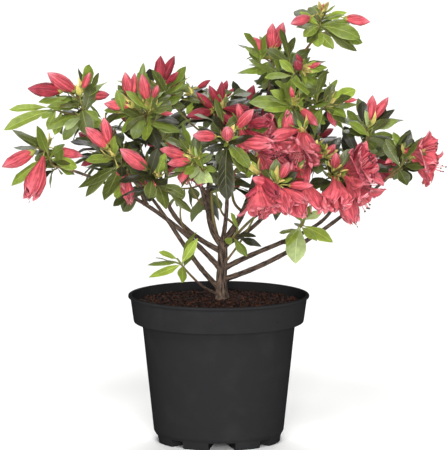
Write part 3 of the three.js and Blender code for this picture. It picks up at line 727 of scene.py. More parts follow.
@dataclass(frozen=True)
class BudForm:
    """A flower bud one long and one in radius: five petals wrapped round each other, in a small cup."""

    seed: int
    twist: float = 1.1
    overlap: float = 0.2
    columns: int = 25
    outline: tuple[Pair, ...] = (
        (0.0, 0.3), (0.08, 0.5), (0.2, 0.78), (0.34, 0.95), (0.48, 1.0), (0.62, 0.93), (0.75, 0.74),
        (0.86, 0.48), (0.95, 0.2), (0.99, 0.06))
    cup_rows: tuple[Pair, ...] = ((-0.05, 0.16), (0.03, 0.46), (0.11, 0.66), (0.1, 0.58), (0.02, 0.4))
    cup_point: float = 0.13
    # The grain's humps along the bud, and out from its axis.
    grain: Pair = (1.6, 4.5)
    # How far the tip may lean, as a share of the radius.
    bent: float = 0.14

    def build(self) -> Form:
        """Builds the wrapped petals and the cup.

        Returns:
            The form. Part 0 is petal, 1 is the cup of bud scales.
        """
        random = np.random.default_rng(self.seed)
        lean = random.uniform(-self.bent, self.bent, 2)
        wave = random.uniform(0.6, 1.4, 5)
        phase = random.uniform(0, math.tau, 4)

        def fold(row: int, angle: float) -> Pair:
            """Steps the radius where one petal lies over the next, and creases it.

            Args:
                row: The ring's number.
                angle: The angle round it.

            Returns:
                No shift, and the factor on the radius.
            """
            place = self.outline[row][0]
            turn = (angle / math.tau * 5 + self.twist * place) % 5
            petal, across = int(turn), turn % 1
            depth = self.overlap * wave[petal] * min(1.0, place * 3)
            folds = 0.05 * math.sin(angle * 3 + phase[0] + place * 4) + 0.04 * math.sin(angle * 8 + phase[1])
            return 0.0, 1 + depth * (0.5 - across) + folds * min(1.0, place * 4)

        petals, faces = ringed(self.outline, self.columns, fold)
        angle = np.arctan2(petals[:, 2], petals[:, 1])
        along = np.clip(petals[:, 0], 0, 1)
        ahead, out = self.grain
        grain = np.stack([along * ahead, np.cos(angle) * out, np.sin(angle) * out], axis=1)
        petals[:, 1:] += lean * 2 * petals[:, :1] ** 2
        return join_forms([(petals, faces, 0, along, np.clip((along - 0.55) * 2, 0, 1), grain),
                           cup_of_scales(self.cup_rows, self.cup_point, 5)])


@dataclass(frozen=True)
class PetalSheet:
    """One petal of a flower: a ruffled sheet with a thickness, from the funnel's foot to its tip."""

    middle: float
    seed: int
    # Along the petal: place, radius, and half the angle that it spans in degrees.
    rows: tuple[Triple, ...]
    ruffle: float
    crumple: float
    columns: int = 9
    thickness: float = 0.03
    # The least radius, which keeps the sheet off the axis.
    throat: float = 0.02
    # The grain's humps along the petal and across it.
    grain: Pair = (1.1, 3.4)

    def build(self) -> Piece:
        """Builds the petal.

        Returns:
            The petal.
        """
        random = np.random.default_rng(self.seed)
        phase = random.uniform(0, math.tau, 6)
        curl, reach, swing = random.uniform(-1, 1, 3)
        count, columns = len(self.rows), self.columns
        along, across = np.meshgrid(np.linspace(0, 1, count), np.linspace(-1, 1, columns), indexing="ij")
        place, radius, half = (np.array([row[item] for row in self.rows])[:, None] for item in range(3))
        angle = np.radians(self.middle + across * half + swing * 9 * along ** 2)
        late = along ** 1.7
        # The edge is ruffled in long waves and short ones, and the blade is crumpled along and across.
        lift = self.ruffle * late * np.sin(across * 6.5 + phase[0]) * np.abs(across)
        lift = lift + self.ruffle * 0.6 * late ** 2 * np.sin(across * 13 + phase[1])
        lift = lift + self.crumple * along * np.sin(along * 7 + across * 3 + phase[2])
        lift = lift + self.crumple * 0.7 * along * np.sin(across * 6 - along * 4 + phase[3])
        # It is hollow down its middle, and one side of its foot lies over the next petal.
        lift = lift - 0.07 * late * (1 - across ** 2) + 0.05 * across * (1 - along)
        out = radius * (1 + 0.1 * reach * late) + lift
        ahead = place + 0.1 * curl * late - self.crumple * 0.6 * late * np.cos(across * 5 + phase[4])
        faces = []
        layers = []
        below = count * columns
        for layer, offset in enumerate((self.thickness / 2, -self.thickness / 2)):
            ring = np.maximum(out + offset, self.throat)
            wall = [ahead - offset * 0.4, ring * np.cos(angle), ring * np.sin(angle)]
            layers.append(np.stack(wall, axis=2).reshape(-1, 3))
            for first in range(layer * below, (layer + 1) * below - columns):
                if first % columns < columns - 1:
                    corners = (first, first + columns, first + columns + 1, first + 1)
                    faces.append(corners if layer else corners[::-1])
        rim = [row * columns for row in range(count)]
        rim += [(count - 1) * columns + column for column in range(1, columns)]
        rim += [row * columns + columns - 1 for row in range(count - 2, -1, -1)]
        rim += list(range(columns - 2, 0, -1))
        for here, onward in zip(rim, rim[1:] + rim[:1]):
            faces.append((here, onward, onward + below, here + below))
        share, side = np.tile(along.ravel(), 2), np.tile(across.ravel(), 2)
        ahead, over = self.grain
        grain = np.stack([share * ahead, side * over + self.seed, np.full(len(side), self.middle)], axis=1)
        # The pale rim grows towards the tip and the sides of the petal; it is partly painted highlight.
        pale_rim_and_highlight = np.clip(share * 2.2 - 1.2, 0, 1) * (0.4 + 0.6 * np.abs(side))
        return np.vstack(layers), faces, 0, share, pale_rim_and_highlight, grain


@dataclass(frozen=True)
class FlowerForm:
    """An azalea flower one long and one in radius: five petals, its stamens and its cup."""

    seed: int
    rows: tuple[Triple, ...] = (
        (0.0, 0.09, 36), (0.14, 0.12, 37), (0.3, 0.19, 39), (0.46, 0.31, 41), (0.62, 0.49, 43),
        (0.76, 0.68, 43), (0.87, 0.84, 39), (0.93, 0.97, 31), (0.95, 1.08, 18), (0.94, 1.14, 5))
    ruffle: float = 0.07
    crumple: float = 0.04
    stamens: int = 4
    stamen_reach: float = 1.25
    petals: int = 5
    cup_rows: tuple[Pair, ...] = ((-0.05, 0.06), (0.0, 0.14), (0.08, 0.21), (0.07, 0.17), (0.0, 0.1))
    cup_point: float = 0.07
    # Where the stamens start: along the flower, and out from its axis.
    stamen_root: Pair = (0.25, 0.03)
    filament: float = 0.02
    anther: float = 0.045

    def build(self) -> Form:
        """Builds the petals, the cup and the stamens.

        Returns:
            The form. Part 0 is petal, 1 cup, 2 filament, 3 anther.
        """
        random = np.random.default_rng(self.seed)
        pieces = [PetalSheet(number * 360 / self.petals, self.seed * 10 + number, self.rows,
                             self.ruffle, self.crumple).build() for number in range(self.petals)]
        pieces.append(cup_of_scales(self.cup_rows, self.cup_point, 8))
        foot, gap = self.stamen_root
        for number in range(self.stamens):
            turn = number / max(1, self.stamens) * math.tau + random.uniform(-0.3, 0.3)
            spread = random.uniform(0.1, 0.24)
            reach = self.stamen_reach * random.uniform(0.84, 1.0)
            root = np.array([foot, gap * math.cos(turn), gap * math.sin(turn)])
            end = np.array([reach, spread * math.cos(turn), spread * math.sin(turn) + 0.16])
            bend = (root + end) / 2 - [0, 0, 0.1]
            pieces.append(rod([root, bend, end], self.filament, 2))
            pieces.append(rod([end, end + (end - bend) * 0.1], self.anther, 3))
        return join_forms(pieces)


def rod(path: Sequence[Array], radius: float, part: int) -> Piece:
    """Builds a thin four-sided rod.

    Args:
        path: Its points, which run mostly along +X.
        radius: Its radius.
        part: Its part number.

    Returns:
        The rod.
    """
    points, faces = ringed([(spot[0], radius) for spot in path], 4)
    rows = [0, *np.repeat(np.arange(len(path)), 4), len(path) - 1]
    points[:, 1:] += np.array(path)[rows, 1:]
    return points, faces, part, np.linspace(0, 1, len(points)), np.zeros(len(points)), points


def join_forms(pieces: Sequence[Piece]) -> Form:
    """Joins pieces of a form.

    Args:
        pieces: The pieces.

    Returns:
        The whole form.
    """
    faces, parts, start = [], [], 0
    for points, piece_faces, part, *_ in pieces:
        faces += [tuple(start + corner for corner in face) for face in piece_faces]
        parts += [part] * len(piece_faces)
        start += len(points)
    points, along, edge, grain = (np.concatenate([piece[item] for piece in pieces]) for item in (0, 3, 4, 5))
    return Form(points, faces, parts, along, edge, grain)


@dataclass
class Places:
    """Where copies of small forms go: the foot, turn, size, form and lightness of each."""

    rows: list[tuple] = field(default_factory=list)

    def put(self, foot: Array, along: Array, upper: Array, size: Triple, form: int, shade: float) -> None:
        """Adds one copy.

        Args:
            foot: Where the form's foot goes, in millimetres.
            along: The direction that it points in.
            upper: Roughly the direction of its upper side.
            size: Its length, width and height in millimetres.
            form: The number of the form.
            shade: How light it is; one is plain.
        """
        ahead = Vector(along).normalized()
        side = Vector(upper).cross(ahead).normalized()
        turn = Matrix((ahead, side, ahead.cross(side))).transposed().to_quaternion()
        size = [length * MM for length in size]
        self.rows.append((tuple(Vector(foot) * MM), tuple(turn), size, form, shade))


class Scatter:
    """Sets copies of small forms at their places, as one plain mesh for each piece."""

    PARTS = 4

    def __init__(self) -> None:
        """Builds the Geometry Nodes tree once."""
        sockets = {"Places": "Geometry", "Forms": "Collection"}
        tree, given = new_tree("set_small_forms", sockets | {
            f"Finish {part}": "Material" for part in range(self.PARTS)})
        forms = add_node(tree, "GeometryNodeCollectionInfo", {
            "Collection": given["Forms"], "Separate Children": True, "Reset Children": True})
        kinds = {"turn": "QUATERNION", "size": "FLOAT_VECTOR", "form": "INT", "part": "INT"}
        turn, size, form, part = (
            add_node(tree, "GeometryNodeInputNamedAttribute", {"Name": name}, data_type=kind)
            for name, kind in kinds.items())
        copies = add_node(tree, "GeometryNodeInstanceOnPoints", {
            "Points": given["Places"], "Instance": forms, "Pick Instance": True, "Instance Index": form,
            "Rotation": turn, "Scale": size})
        geometry = add_node(tree, "GeometryNodeRealizeInstances", {"Geometry": copies})
        for number in range(self.PARTS):
            chosen = add_node(tree, "FunctionNodeCompare", {2: part, 3: number},
                              data_type="INT", operation="EQUAL")
            geometry = add_node(tree, "GeometryNodeSetMaterial", {
                "Geometry": geometry, "Selection": chosen, "Material": given[f"Finish {number}"]})
        add_node(tree, "NodeGroupOutput", {"Geometry": geometry})
        self.tree = tree

    def run(self, name: str, forms: Sequence[Form], places: Places,
            finishes: Sequence[Material]) -> Object:
        """Sets the forms at their places.

        Args:
            name: The name of the piece.
            forms: The small forms, by number.
            places: Where they go.
            finishes: The material of each part of a form.

        Returns:
            The finished piece.
        """
        feet, *columns = zip(*places.rows)
        mesh = make_mesh(f"{name}_places", feet)
        kinds = (("turn", "QUATERNION"), ("size", "FLOAT_VECTOR"), ("form", "INT"), ("shade", "FLOAT"))
        for (label, kind), values in zip(kinds, columns):
            mark(mesh, label, values, kind)
        dress = {f"Finish {part}": finish for part, finish in enumerate(finishes)}
        shapes = [form.as_object(f"{name}_form_{number:02d}") for number, form in enumerate(forms)]
        return grow(name, mesh, self.tree, dress, shapes)


class Sweep:
    """Makes stems along paths: round, tapering, with bark relief, as one plain mesh for each piece."""

    # Strips of bark keep their width of about a millimetre round a 5 mm stem.
    STRIPS = (2.2, 2.2, 1.0)

    def __init__(self) -> None:
        """Builds the Geometry Nodes tree once."""
        tree, given = new_tree("grow_stems", {
            "Paths": "Geometry", "Sides": "Int", "Relief": "Float", "Strip Length": "Float",
            "Finish": "Material"})
        spline = add_node(tree, "GeometryNodeSplineParameter").outputs
        curve = add_node(tree, "GeometryNodeMeshToCurve", {"Mesh": given["Paths"]})
        for name, value in (("along", "Factor"), ("run", "Length")):
            curve = add_node(tree, "GeometryNodeStoreNamedAttribute", {
                "Geometry": curve, "Name": name, "Value": spline[value]})
        ring = add_node(tree, "GeometryNodeStoreNamedAttribute", {
            "Geometry": add_node(tree, "GeometryNodeCurvePrimitiveCircle", {
                "Resolution": given["Sides"], "Radius": 1.0}),
            "Name": "around", "Value": spline["Factor"]})
        girth, run, around = (
            add_node(tree, "GeometryNodeInputNamedAttribute", {"Name": name}, data_type="FLOAT")
            for name in ("girth", "run", "around"))
        tube = add_node(tree, "GeometryNodeCurveToMesh", {
            "Curve": curve, "Profile Curve": ring, "Scale": girth, "Fill Caps": True})
        # The pattern of the bark goes round the stem in a circle, so it has no seam.
        angle = add_node(tree, "ShaderNodeMath", {0: around, 1: math.tau}, operation="MULTIPLY")
        sine, cosine = (add_node(tree, "ShaderNodeMath", {0: angle}, operation=kind)
                        for kind in ("SINE", "COSINE"))
        rise = add_node(tree, "ShaderNodeMath", {0: run, 1: given["Strip Length"]}, operation="DIVIDE")
        place = add_node(tree, "ShaderNodeCombineXYZ", {"X": sine, "Y": cosine, "Z": rise})
        place = add_node(tree, "ShaderNodeVectorMath", {0: place, 1: self.STRIPS}, operation="MULTIPLY")
        noise = add_node(tree, "ShaderNodeTexNoise", {"Vector": place, "Scale": 1.0, "Detail": 3.0})
        height = add_node(tree, "ShaderNodeMath", {0: noise, 1: 0.5}, operation="SUBTRACT")
        height = add_node(tree, "ShaderNodeMath", {0: height, 1: given["Relief"]}, operation="MULTIPLY")
        offset = add_node(tree, "ShaderNodeVectorMath", {
            0: add_node(tree, "GeometryNodeInputNormal"), "Scale": height}, operation="SCALE")
        for name, kind, value in (("bark", "FLOAT_VECTOR", place), ("shade", "FLOAT", 1.0)):
            tube = add_node(tree, "GeometryNodeStoreNamedAttribute", {
                "Geometry": tube, "Name": name, "Value": value}, data_type=kind)
        tube = add_node(tree, "GeometryNodeSetPosition", {"Geometry": tube, "Offset": offset})
        tube = add_node(tree, "GeometryNodeSetShadeSmooth", {"Geometry": tube})
        end_tree(tree, tube, given["Finish"])
        self.tree = tree

    def run(self, name: str, stems: Sequence[Stem], finish: Material, sides: int,
            relief: float = 0.0, strip: float = 8.0) -> Object:
        """Makes the stems.

        Args:
            name: The name of the piece.
            stems: The stems.
            finish: The material.
            sides: How many points go round a stem.
            relief: Height of the bark's relief in millimetres.
            strip: Length of a strip of bark in millimetres.

        Returns:
            The finished piece.
        """
        edges: list[tuple[int, int]] = []
        start = 0
        for path, _ in stems:
            edges += [(i, i + 1) for i in range(start, start + len(path) - 1)]
            start += len(path)
        mesh = make_mesh(f"{name}_paths", np.vstack([path for path, _ in stems]) * MM, edges=edges)
        mark(mesh, "girth", np.concatenate([radii for _, radii in stems]) * MM)
        return grow(name, mesh, self.tree, {
            "Sides": sides, "Relief": relief * MM, "Strip Length": strip * MM, "Finish": finish})


# ---------------- pot and peat


def filleted(corners: Sequence[Triple], steps: int = 4) -> list[Pair]:
    """Rounds the corners of an outline.

    Args:
        corners: Height, radius and fillet of each corner, in order.
        steps: Facets in each fillet.

    Returns:
        Height and radius of each point of the rounded outline.
    """
    rounded: list[Pair] = []
    for number, (height, radius, fillet) in enumerate(corners):
        if fillet == 0:
            rounded.append((height, radius))
            continue
        here = Vector((height, radius))
        before = Vector(corners[number - 1][:2]) - here
        after = Vector(corners[number + 1][:2]) - here
        reach = min(fillet, before.length * 0.45, after.length * 0.45)
        first, last = here + before.normalized() * reach, here + after.normalized() * reach
        for step in range(steps + 1):
            share = step / steps
            rounded.append(tuple(first.lerp(here, share).lerp(here.lerp(last, share), share)))
    return rounded


# The order of coordinates that turns a form round +X into one round +Z.
UPRIGHT = [1, 2, 0]


@dataclass
class NurseryPot:
    """The round black container: rolled rim, deep collar, tapered wall, plinth and drainage channels."""

    height: float = 155.0
    rim_radius: float = 95.0
    rim_height: float = 2.6
    collar_top: float = 92.6
    collar_foot: float = 89.1
    collar_height: float = 29.0
    body_top: float = 80.4
    body_foot: float = 68.3
    body_start: float = 11.4
    plinth_top: float = 66.2
    plinth_foot: float = 64.8
    plinth_height: float = 8.2
    foot_width: float = 2.6
    floor_top: float = 11.0
    wall: float = 1.7
    # Eight drainage channels: height, how near the middle they start, and how far the first is turned.
    channel_height: float = 8.0
    channel_inner: float = 22.0
    channel_turn: float = 3.0
    # Half the width of a channel at its inner end and at the wall.
    wide_mouth: Pair = (6.0, 15.4)
    narrow_mouth: Pair = (4.0, 8.4)
    flare: float = 1.3
    drain_radius: float = 4.0
    drain_reach: float = 52.0
    facets: int = 144
    # How many degrees an edge folds to stay sharp.
    fold: float = 35.0
    finish: Grained = POT_PLASTIC

    def outline(self) -> list[Pair]:
        """Draws the wall, up the outside and down the inside, with moulded fillets.

        Returns:
            Height and radius of each point.
        """
        top, shelf, inner = self.height, self.height - self.collar_height, self.body_foot - self.wall
        return filleted([
            (0.0, self.plinth_foot - self.foot_width, 0.0), (0.0, self.plinth_foot, 1.6),
            (self.plinth_height, self.plinth_top, 1.2), (self.body_start, self.body_foot, 1.4),
            (shelf, self.body_top, 1.0), (shelf, self.collar_foot, 1.8),
            (top - self.rim_height - 1.2, self.collar_top, 0.9),
            (top - self.rim_height, self.rim_radius, 0.9), (top, self.rim_radius, 1.2),
            (top, self.collar_top - self.wall, 1.0),
            (shelf + self.wall, self.collar_foot - self.wall, 1.0),
            (shelf + self.wall, self.body_top - self.wall, 1.0),
            (self.floor_top, inner, 2.0), (self.floor_top, inner - 6.0, 0.0)])

    def cutters(self) -> list[Object]:
        """Builds what the pot's foot is cut with.

        Returns:
            The bodies of the drainage channels and of the drain holes.
        """
        channels, drains = bmesh.new(), bmesh.new()
        inner, outer, drain = self.channel_inner, self.rim_radius, self.drain_radius * MM
        for eighth in range(8):
            turn = Matrix.Rotation(math.radians(eighth * 45 + self.channel_turn - 90), 4, "Z")
            near, far = self.narrow_mouth if eighth % 2 else self.wide_mouth
            far *= self.flare
            low, high = ([channels.verts.new(turn @ Vector((x, y, z)) * MM)
                          for x, y in ((inner, -near), (outer, -far), (outer, far), (inner, near))]
                         for z in (-5.0, self.channel_height))
            channels.faces.new(low[::-1])
            channels.faces.new(high)
            for side in range(4):
                onward = (side + 1) % 4
                channels.faces.new((low[side], low[onward], high[onward], high[side]))
            place = turn @ Vector((self.drain_reach, 0, self.floor_top))
            bmesh.ops.create_cone(
                drains, cap_ends=True, segments=20, radius1=drain, radius2=drain,
                depth=self.floor_top * 2 * MM, matrix=Matrix.Translation(place * MM))
        return [add_object(name, release(work, bpy.data.meshes.new(name)))
                for name, work in (("channels", channels), ("drains", drains))]

    def build(self) -> None:
        """Builds the pot's turned wall, cuts it, keeps its sharp edges and dresses it."""
        points, faces = ringed(self.outline(), self.facets)
        pot = add_object("nursery_pot", make_mesh("nursery_pot", points[:, UPRIGHT] * MM, faces))
        tools = self.cutters()
        for tool in tools:
            cut = pot.modifiers.new(tool.name, "BOOLEAN")
            cut.operation, cut.solver, cut.object = "DIFFERENCE", "EXACT", tool
        depsgraph = bpy.context.evaluated_depsgraph_get()
        pot.data = bpy.data.meshes.new_from_object(pot.evaluated_get(depsgraph))
        pot.modifiers.clear()
        for tool in tools:
            bpy.data.objects.remove(tool)
        crease(pot.data, self.fold, merge=0.01 * MM)
        pot.data.materials.clear()
        pot.data.materials.append(self.finish.build())
        settle(pot, ["pot"])


@dataclass
class PeatBed:
    """The peat in the pot: a lumpy mound with loose crumbs on it."""

    edge_height: float = 144.8
    crown_height: float = 149.5
    edge_radius: float = 89.3
    foot_radius: float = 66.0
    shelf_radius: float = 78.0
    shelf_height: float = 128.2
    shelf_gap: float = 2.0
    floor: float = 11.4
    lump: float = 1.7
    roughness: float = 3.2
    rings: int = 46
    columns: int = 150
    crumb_shapes: int = 4
    # Crumbs: how many in a square metre, their least and greatest width, and how far down the edge they lie.
    crumb_density: float = 190000.0
    crumb_widths: Pair = (0.7, 5.0)
    crumb_sink: float = 1.5
    seed: int = 11
    finish: Grained = PEAT

    def bed(self) -> Mesh:
        """Builds the closed body of peat with its lumpy top.

        Returns:
            Its mesh.
        """
        random = np.random.default_rng(self.seed)
        waves = random.uniform(0.1, 0.55, (24, 2)) * random.choice((-1, 1), (24, 2))
        phases = random.uniform(0, math.tau, 24)
        rows = [(self.floor, self.foot_radius), (self.shelf_height, self.shelf_radius),
                (self.shelf_height, self.edge_radius - self.shelf_gap)]
        fixed = len(rows)
        rows += [(self.edge_height, self.edge_radius * (1 - i / self.rings)) for i in range(self.rings)]

        def lumpy(row: int, angle: float) -> Pair:
            """Lifts the top into a mound with lumps.

            Args:
                row: The ring's number.
                angle: The angle round it.

            Returns:
                How far the point is lifted, and a factor of one.
            """
            if row < fixed:
                return 0.0, 1.0
            radius = rows[row][1]
            spot = np.array([radius * math.cos(angle), radius * math.sin(angle)])
            rough = float(np.sin(waves @ spot + phases).mean()) * self.roughness
            share = 1 - radius / self.edge_radius
            mound = (self.crown_height - self.edge_height) * min(1.0, share * 1.5)
            return mound + rough * self.lump * min(1.0, share * 12), 1.0

        points, faces = ringed(rows, self.columns, lumpy)
        points[-1, 0] = self.crown_height
        mesh = make_mesh("peat", points[:, UPRIGHT] * MM, faces)
        mesh.polygons.foreach_set("use_smooth", [True] * len(faces))
        return mesh

    def crumb(self, number: int) -> Object:
        """Builds a crumb, a knobbly lump one across.

        Args:
            number: The number of its shape.

        Returns:
            The crumb, in no collection yet.
        """
        random = np.random.default_rng(self.seed + number)
        work = bmesh.new()
        bmesh.ops.create_icosphere(work, subdivisions=1, radius=0.5)
        stretch = random.uniform(0.55, 1.2, 3)
        for vertex in work.verts:
            vertex.co = Vector(np.array(vertex.co) * stretch * random.uniform(0.75, 1.2))
        mesh = release(work, bpy.data.meshes.new(f"crumb_{number}"))
        return bpy.data.objects.new(mesh.name, mesh)

    def tree(self) -> NodeTree:
        """Builds the tree that strews crumbs over the top of the peat.

        Returns:
            The tree.
        """
        tree, given = new_tree("strew_crumbs", {
            "Bed": "Geometry", "Forms": "Collection", "Density": "Float", "Smallest": "Float",
            "Largest": "Float", "Seed": "Int", "Lowest": "Float", "Finish": "Material"})
        place = add_node(tree, "ShaderNodeSeparateXYZ", {0: add_node(tree, "GeometryNodeInputPosition")})
        top = add_node(tree, "FunctionNodeCompare", {0: place.outputs["Z"], 1: given["Lowest"]},
                       data_type="FLOAT", operation="GREATER_THAN")
        spots = add_node(tree, "GeometryNodeDistributePointsOnFaces", {
            "Mesh": given["Bed"], "Selection": top, "Density": given["Density"], "Seed": given["Seed"]})
        turn = add_node(tree, "FunctionNodeRandomValue", {
            "Max": (math.tau, math.tau, math.tau), "Seed": given["Seed"]}, data_type="FLOAT_VECTOR")
        chance = add_node(tree, "FunctionNodeRandomValue", {"Seed": given["Seed"]}, data_type="FLOAT")
        # Most crumbs are small: the chance is cubed before it picks a size.
        cubed = add_node(tree, "ShaderNodeMath", {0: chance, 1: 3.0}, operation="POWER")
        size = add_node(tree, "ShaderNodeMapRange", {
            "Value": cubed, "To Min": given["Smallest"], "To Max": given["Largest"]})
        crumbs = add_node(tree, "GeometryNodeCollectionInfo", {
            "Collection": given["Forms"], "Separate Children": True, "Reset Children": True})
        copies = add_node(tree, "GeometryNodeInstanceOnPoints", {
            "Points": spots, "Instance": crumbs, "Pick Instance": True, "Scale": size,
            "Rotation": add_node(tree, "FunctionNodeEulerToRotation", {"Euler": turn})})
        end_tree(tree, copies, given["Finish"])
        return tree

    def build(self) -> None:
        """Builds the bed and its crumbs and dresses both."""
        bed, peat = add_object("peat", self.bed()), self.finish.build()
        bed.data.materials.append(peat)
        smallest, largest = self.crumb_widths
        crumbs = grow("peat_crumbs", bed.data.copy(), self.tree(), {
            "Density": self.crumb_density, "Smallest": smallest * MM, "Largest": largest * MM,
            "Seed": self.seed, "Lowest": (self.edge_height - self.crumb_sink) * MM, "Finish": peat,
        }, [self.crumb(number) for number in range(self.crumb_shapes)])
        settle(bed, ["soil"])
        settle(crumbs)


# ---------------- paths


def unit(step: Array) -> Array:
    """Gives the direction of a step."""
    return step / np.linalg.norm(step)


class Path:
    """A smooth line read by the share of its length."""

    def __init__(self, samples: Array) -> None:
        """Measures the line.

        Args:
            samples: Close points along it, root first.
        """
        self.samples = samples
        steps = np.linalg.norm(np.diff(samples, axis=0), axis=1)
        self.runs = np.concatenate([[0.0], np.cumsum(steps)])
        self.length = float(self.runs[-1])

    def at(self, share: float) -> Array:
        """Gives the point at a share of the length."""
        run = min(max(share, 0.0), 1.0) * self.length
        return np.array([np.interp(run, self.runs, self.samples[:, axis]) for axis in range(3)])

    def heading(self, share: float) -> Array:
        """Gives the direction of the line at a share of its length."""
        return unit(self.at(share + 0.02) - self.at(share - 0.02))

    def part(self, low: float, high: float, spacing: float) -> Array:
        """Gives evenly spaced points on a part of the line."""
        count = max(2, math.ceil((high - low) * self.length / spacing))
        return np.array([self.at(low + (high - low) * i / count) for i in range(count + 1)])


def bezier(controls: Sequence[Sequence[float]], share: Array | float) -> Array:
    """Reads a cubic curve.

    Args:
        controls: Its four control points.
        share: One or more shares of its parameter.

    Returns:
        The point at each.
    """
    a, b, c, d = (np.array(control, dtype=float) for control in controls)
    t = np.atleast_1d(share)[:, None]
    return (1 - t) ** 3 * a + 3 * (1 - t) ** 2 * t * b + 3 * (1 - t) * t ** 2 * c + t ** 3 * d


def through(knots: Sequence[Sequence[float]], steps: int = 16) -> Path:
    """Makes a smooth path through its knots, eased by their distances.

    Args:
        knots: The points that it goes through.
        steps: How many samples it has from one knot to the next.

    Returns:
        The path.
    """
    knots = [np.array(knot, dtype=float) for knot in knots]
    ends = [2 * knots[0] - knots[1], *knots, 2 * knots[-1] - knots[-2]]
    samples = [knots[0]]
    for i in range(1, len(ends) - 2):
        p0, p1, p2, p3 = ends[i - 1:i + 3]
        d0, d1, d2 = (max(np.linalg.norm(b - a) ** 0.5, 1e-3) for a, b in ((p0, p1), (p1, p2), (p2, p3)))
        m1 = ((p1 - p0) / d0 - (p2 - p0) / (d0 + d1) + (p2 - p1) / d1) * d1
        m2 = ((p2 - p1) / d1 - (p3 - p1) / (d1 + d2) + (p3 - p2) / d2) * d1
        for t in np.linspace(0, 1, steps + 1)[1:]:
            samples.append((2 * t ** 3 - 3 * t ** 2 + 1) * p1 + (t ** 3 - 2 * t ** 2 + t) * m1
                           + (-2 * t ** 3 + 3 * t ** 2) * p2 + (t ** 3 - t ** 2) * m2)
    return Path(np.array(samples))


def heading(tilt: float, lean: float) -> Array:
    """Gives the direction for a tilt and a lean in degrees, as seen from the front."""
    up, out = math.radians(tilt), math.radians(lean)
    return np.array([math.cos(up) * math.cos(out), -math.sin(out), math.sin(up) * math.cos(out)])


def round_stem(onward: Array, guide: Triple, turn: float) -> Array:
    """Gives the direction straight out from a stem at a turn round it, in radians from a guide's side."""
    side = unit(np.cross(onward, guide))
    return side * math.cos(turn) + np.cross(onward, side) * math.sin(turn)


class Chance:
    """Repeatable random numbers from 0 to 1, drawn as the solids' rule draws them."""

    MASK = 0xFFFFFFFF

    def __init__(self, seed: int) -> None:
        """Starts at a seed."""
        self.state = seed & self.MASK

    def draw(self) -> float:
        """Draws the next number.

        Returns:
            The number, from 0 to 1.
        """
        self.state = (self.state + 0x6D2B79F5) & self.MASK
        mixed = self.state
        mixed = (mixed ^ (mixed >> 15)) * (mixed | 1) & self.MASK
        mixed ^= (mixed + ((mixed ^ (mixed >> 7)) * (mixed | 61) & self.MASK)) & self.MASK
        return ((mixed ^ (mixed >> 14)) & self.MASK) / 2 ** 32

    def between(self, low: float, high: float) -> float:
        """Draws a number between two limits."""
        return low + (high - low) * self.draw()

    def each(self, limits: Iterable[Pair]) -> list[float]:
        """Draws a number between each pair of limits."""
        return [self.between(low, high) for low, high in limits]


# ---------------- limbs


@dataclass(frozen=True)
class LimbRow:
    """A row of the limb table: its parent and place on it, two bends, tip, root and tip radius."""

    name: str
    parent: str
    place: float
    first_bend: Triple
    second_bend: Triple
    tip: Triple
    root_radius: float
    tip_radius: float


@dataclass
class Limb:
    """A trunk or bough: its whole line, the share of it that is bare, and its radii."""

    controls: tuple
    path: Path
    bare: float
    root_radius: float
    tip_radius: float

    def radii(self, count: int) -> Array:
        """Gives the radius at so many even steps of the bare part."""
        return self.root_radius + (self.tip_radius - self.root_radius) * np.linspace(0, 1, count)

    def beads(self) -> Stem:
        """Gives points down the middle of the bare part and their radii, for leaves to miss."""
        centres = self.path.part(0, self.bare, 3.0)
        return centres, self.radii(len(centres))


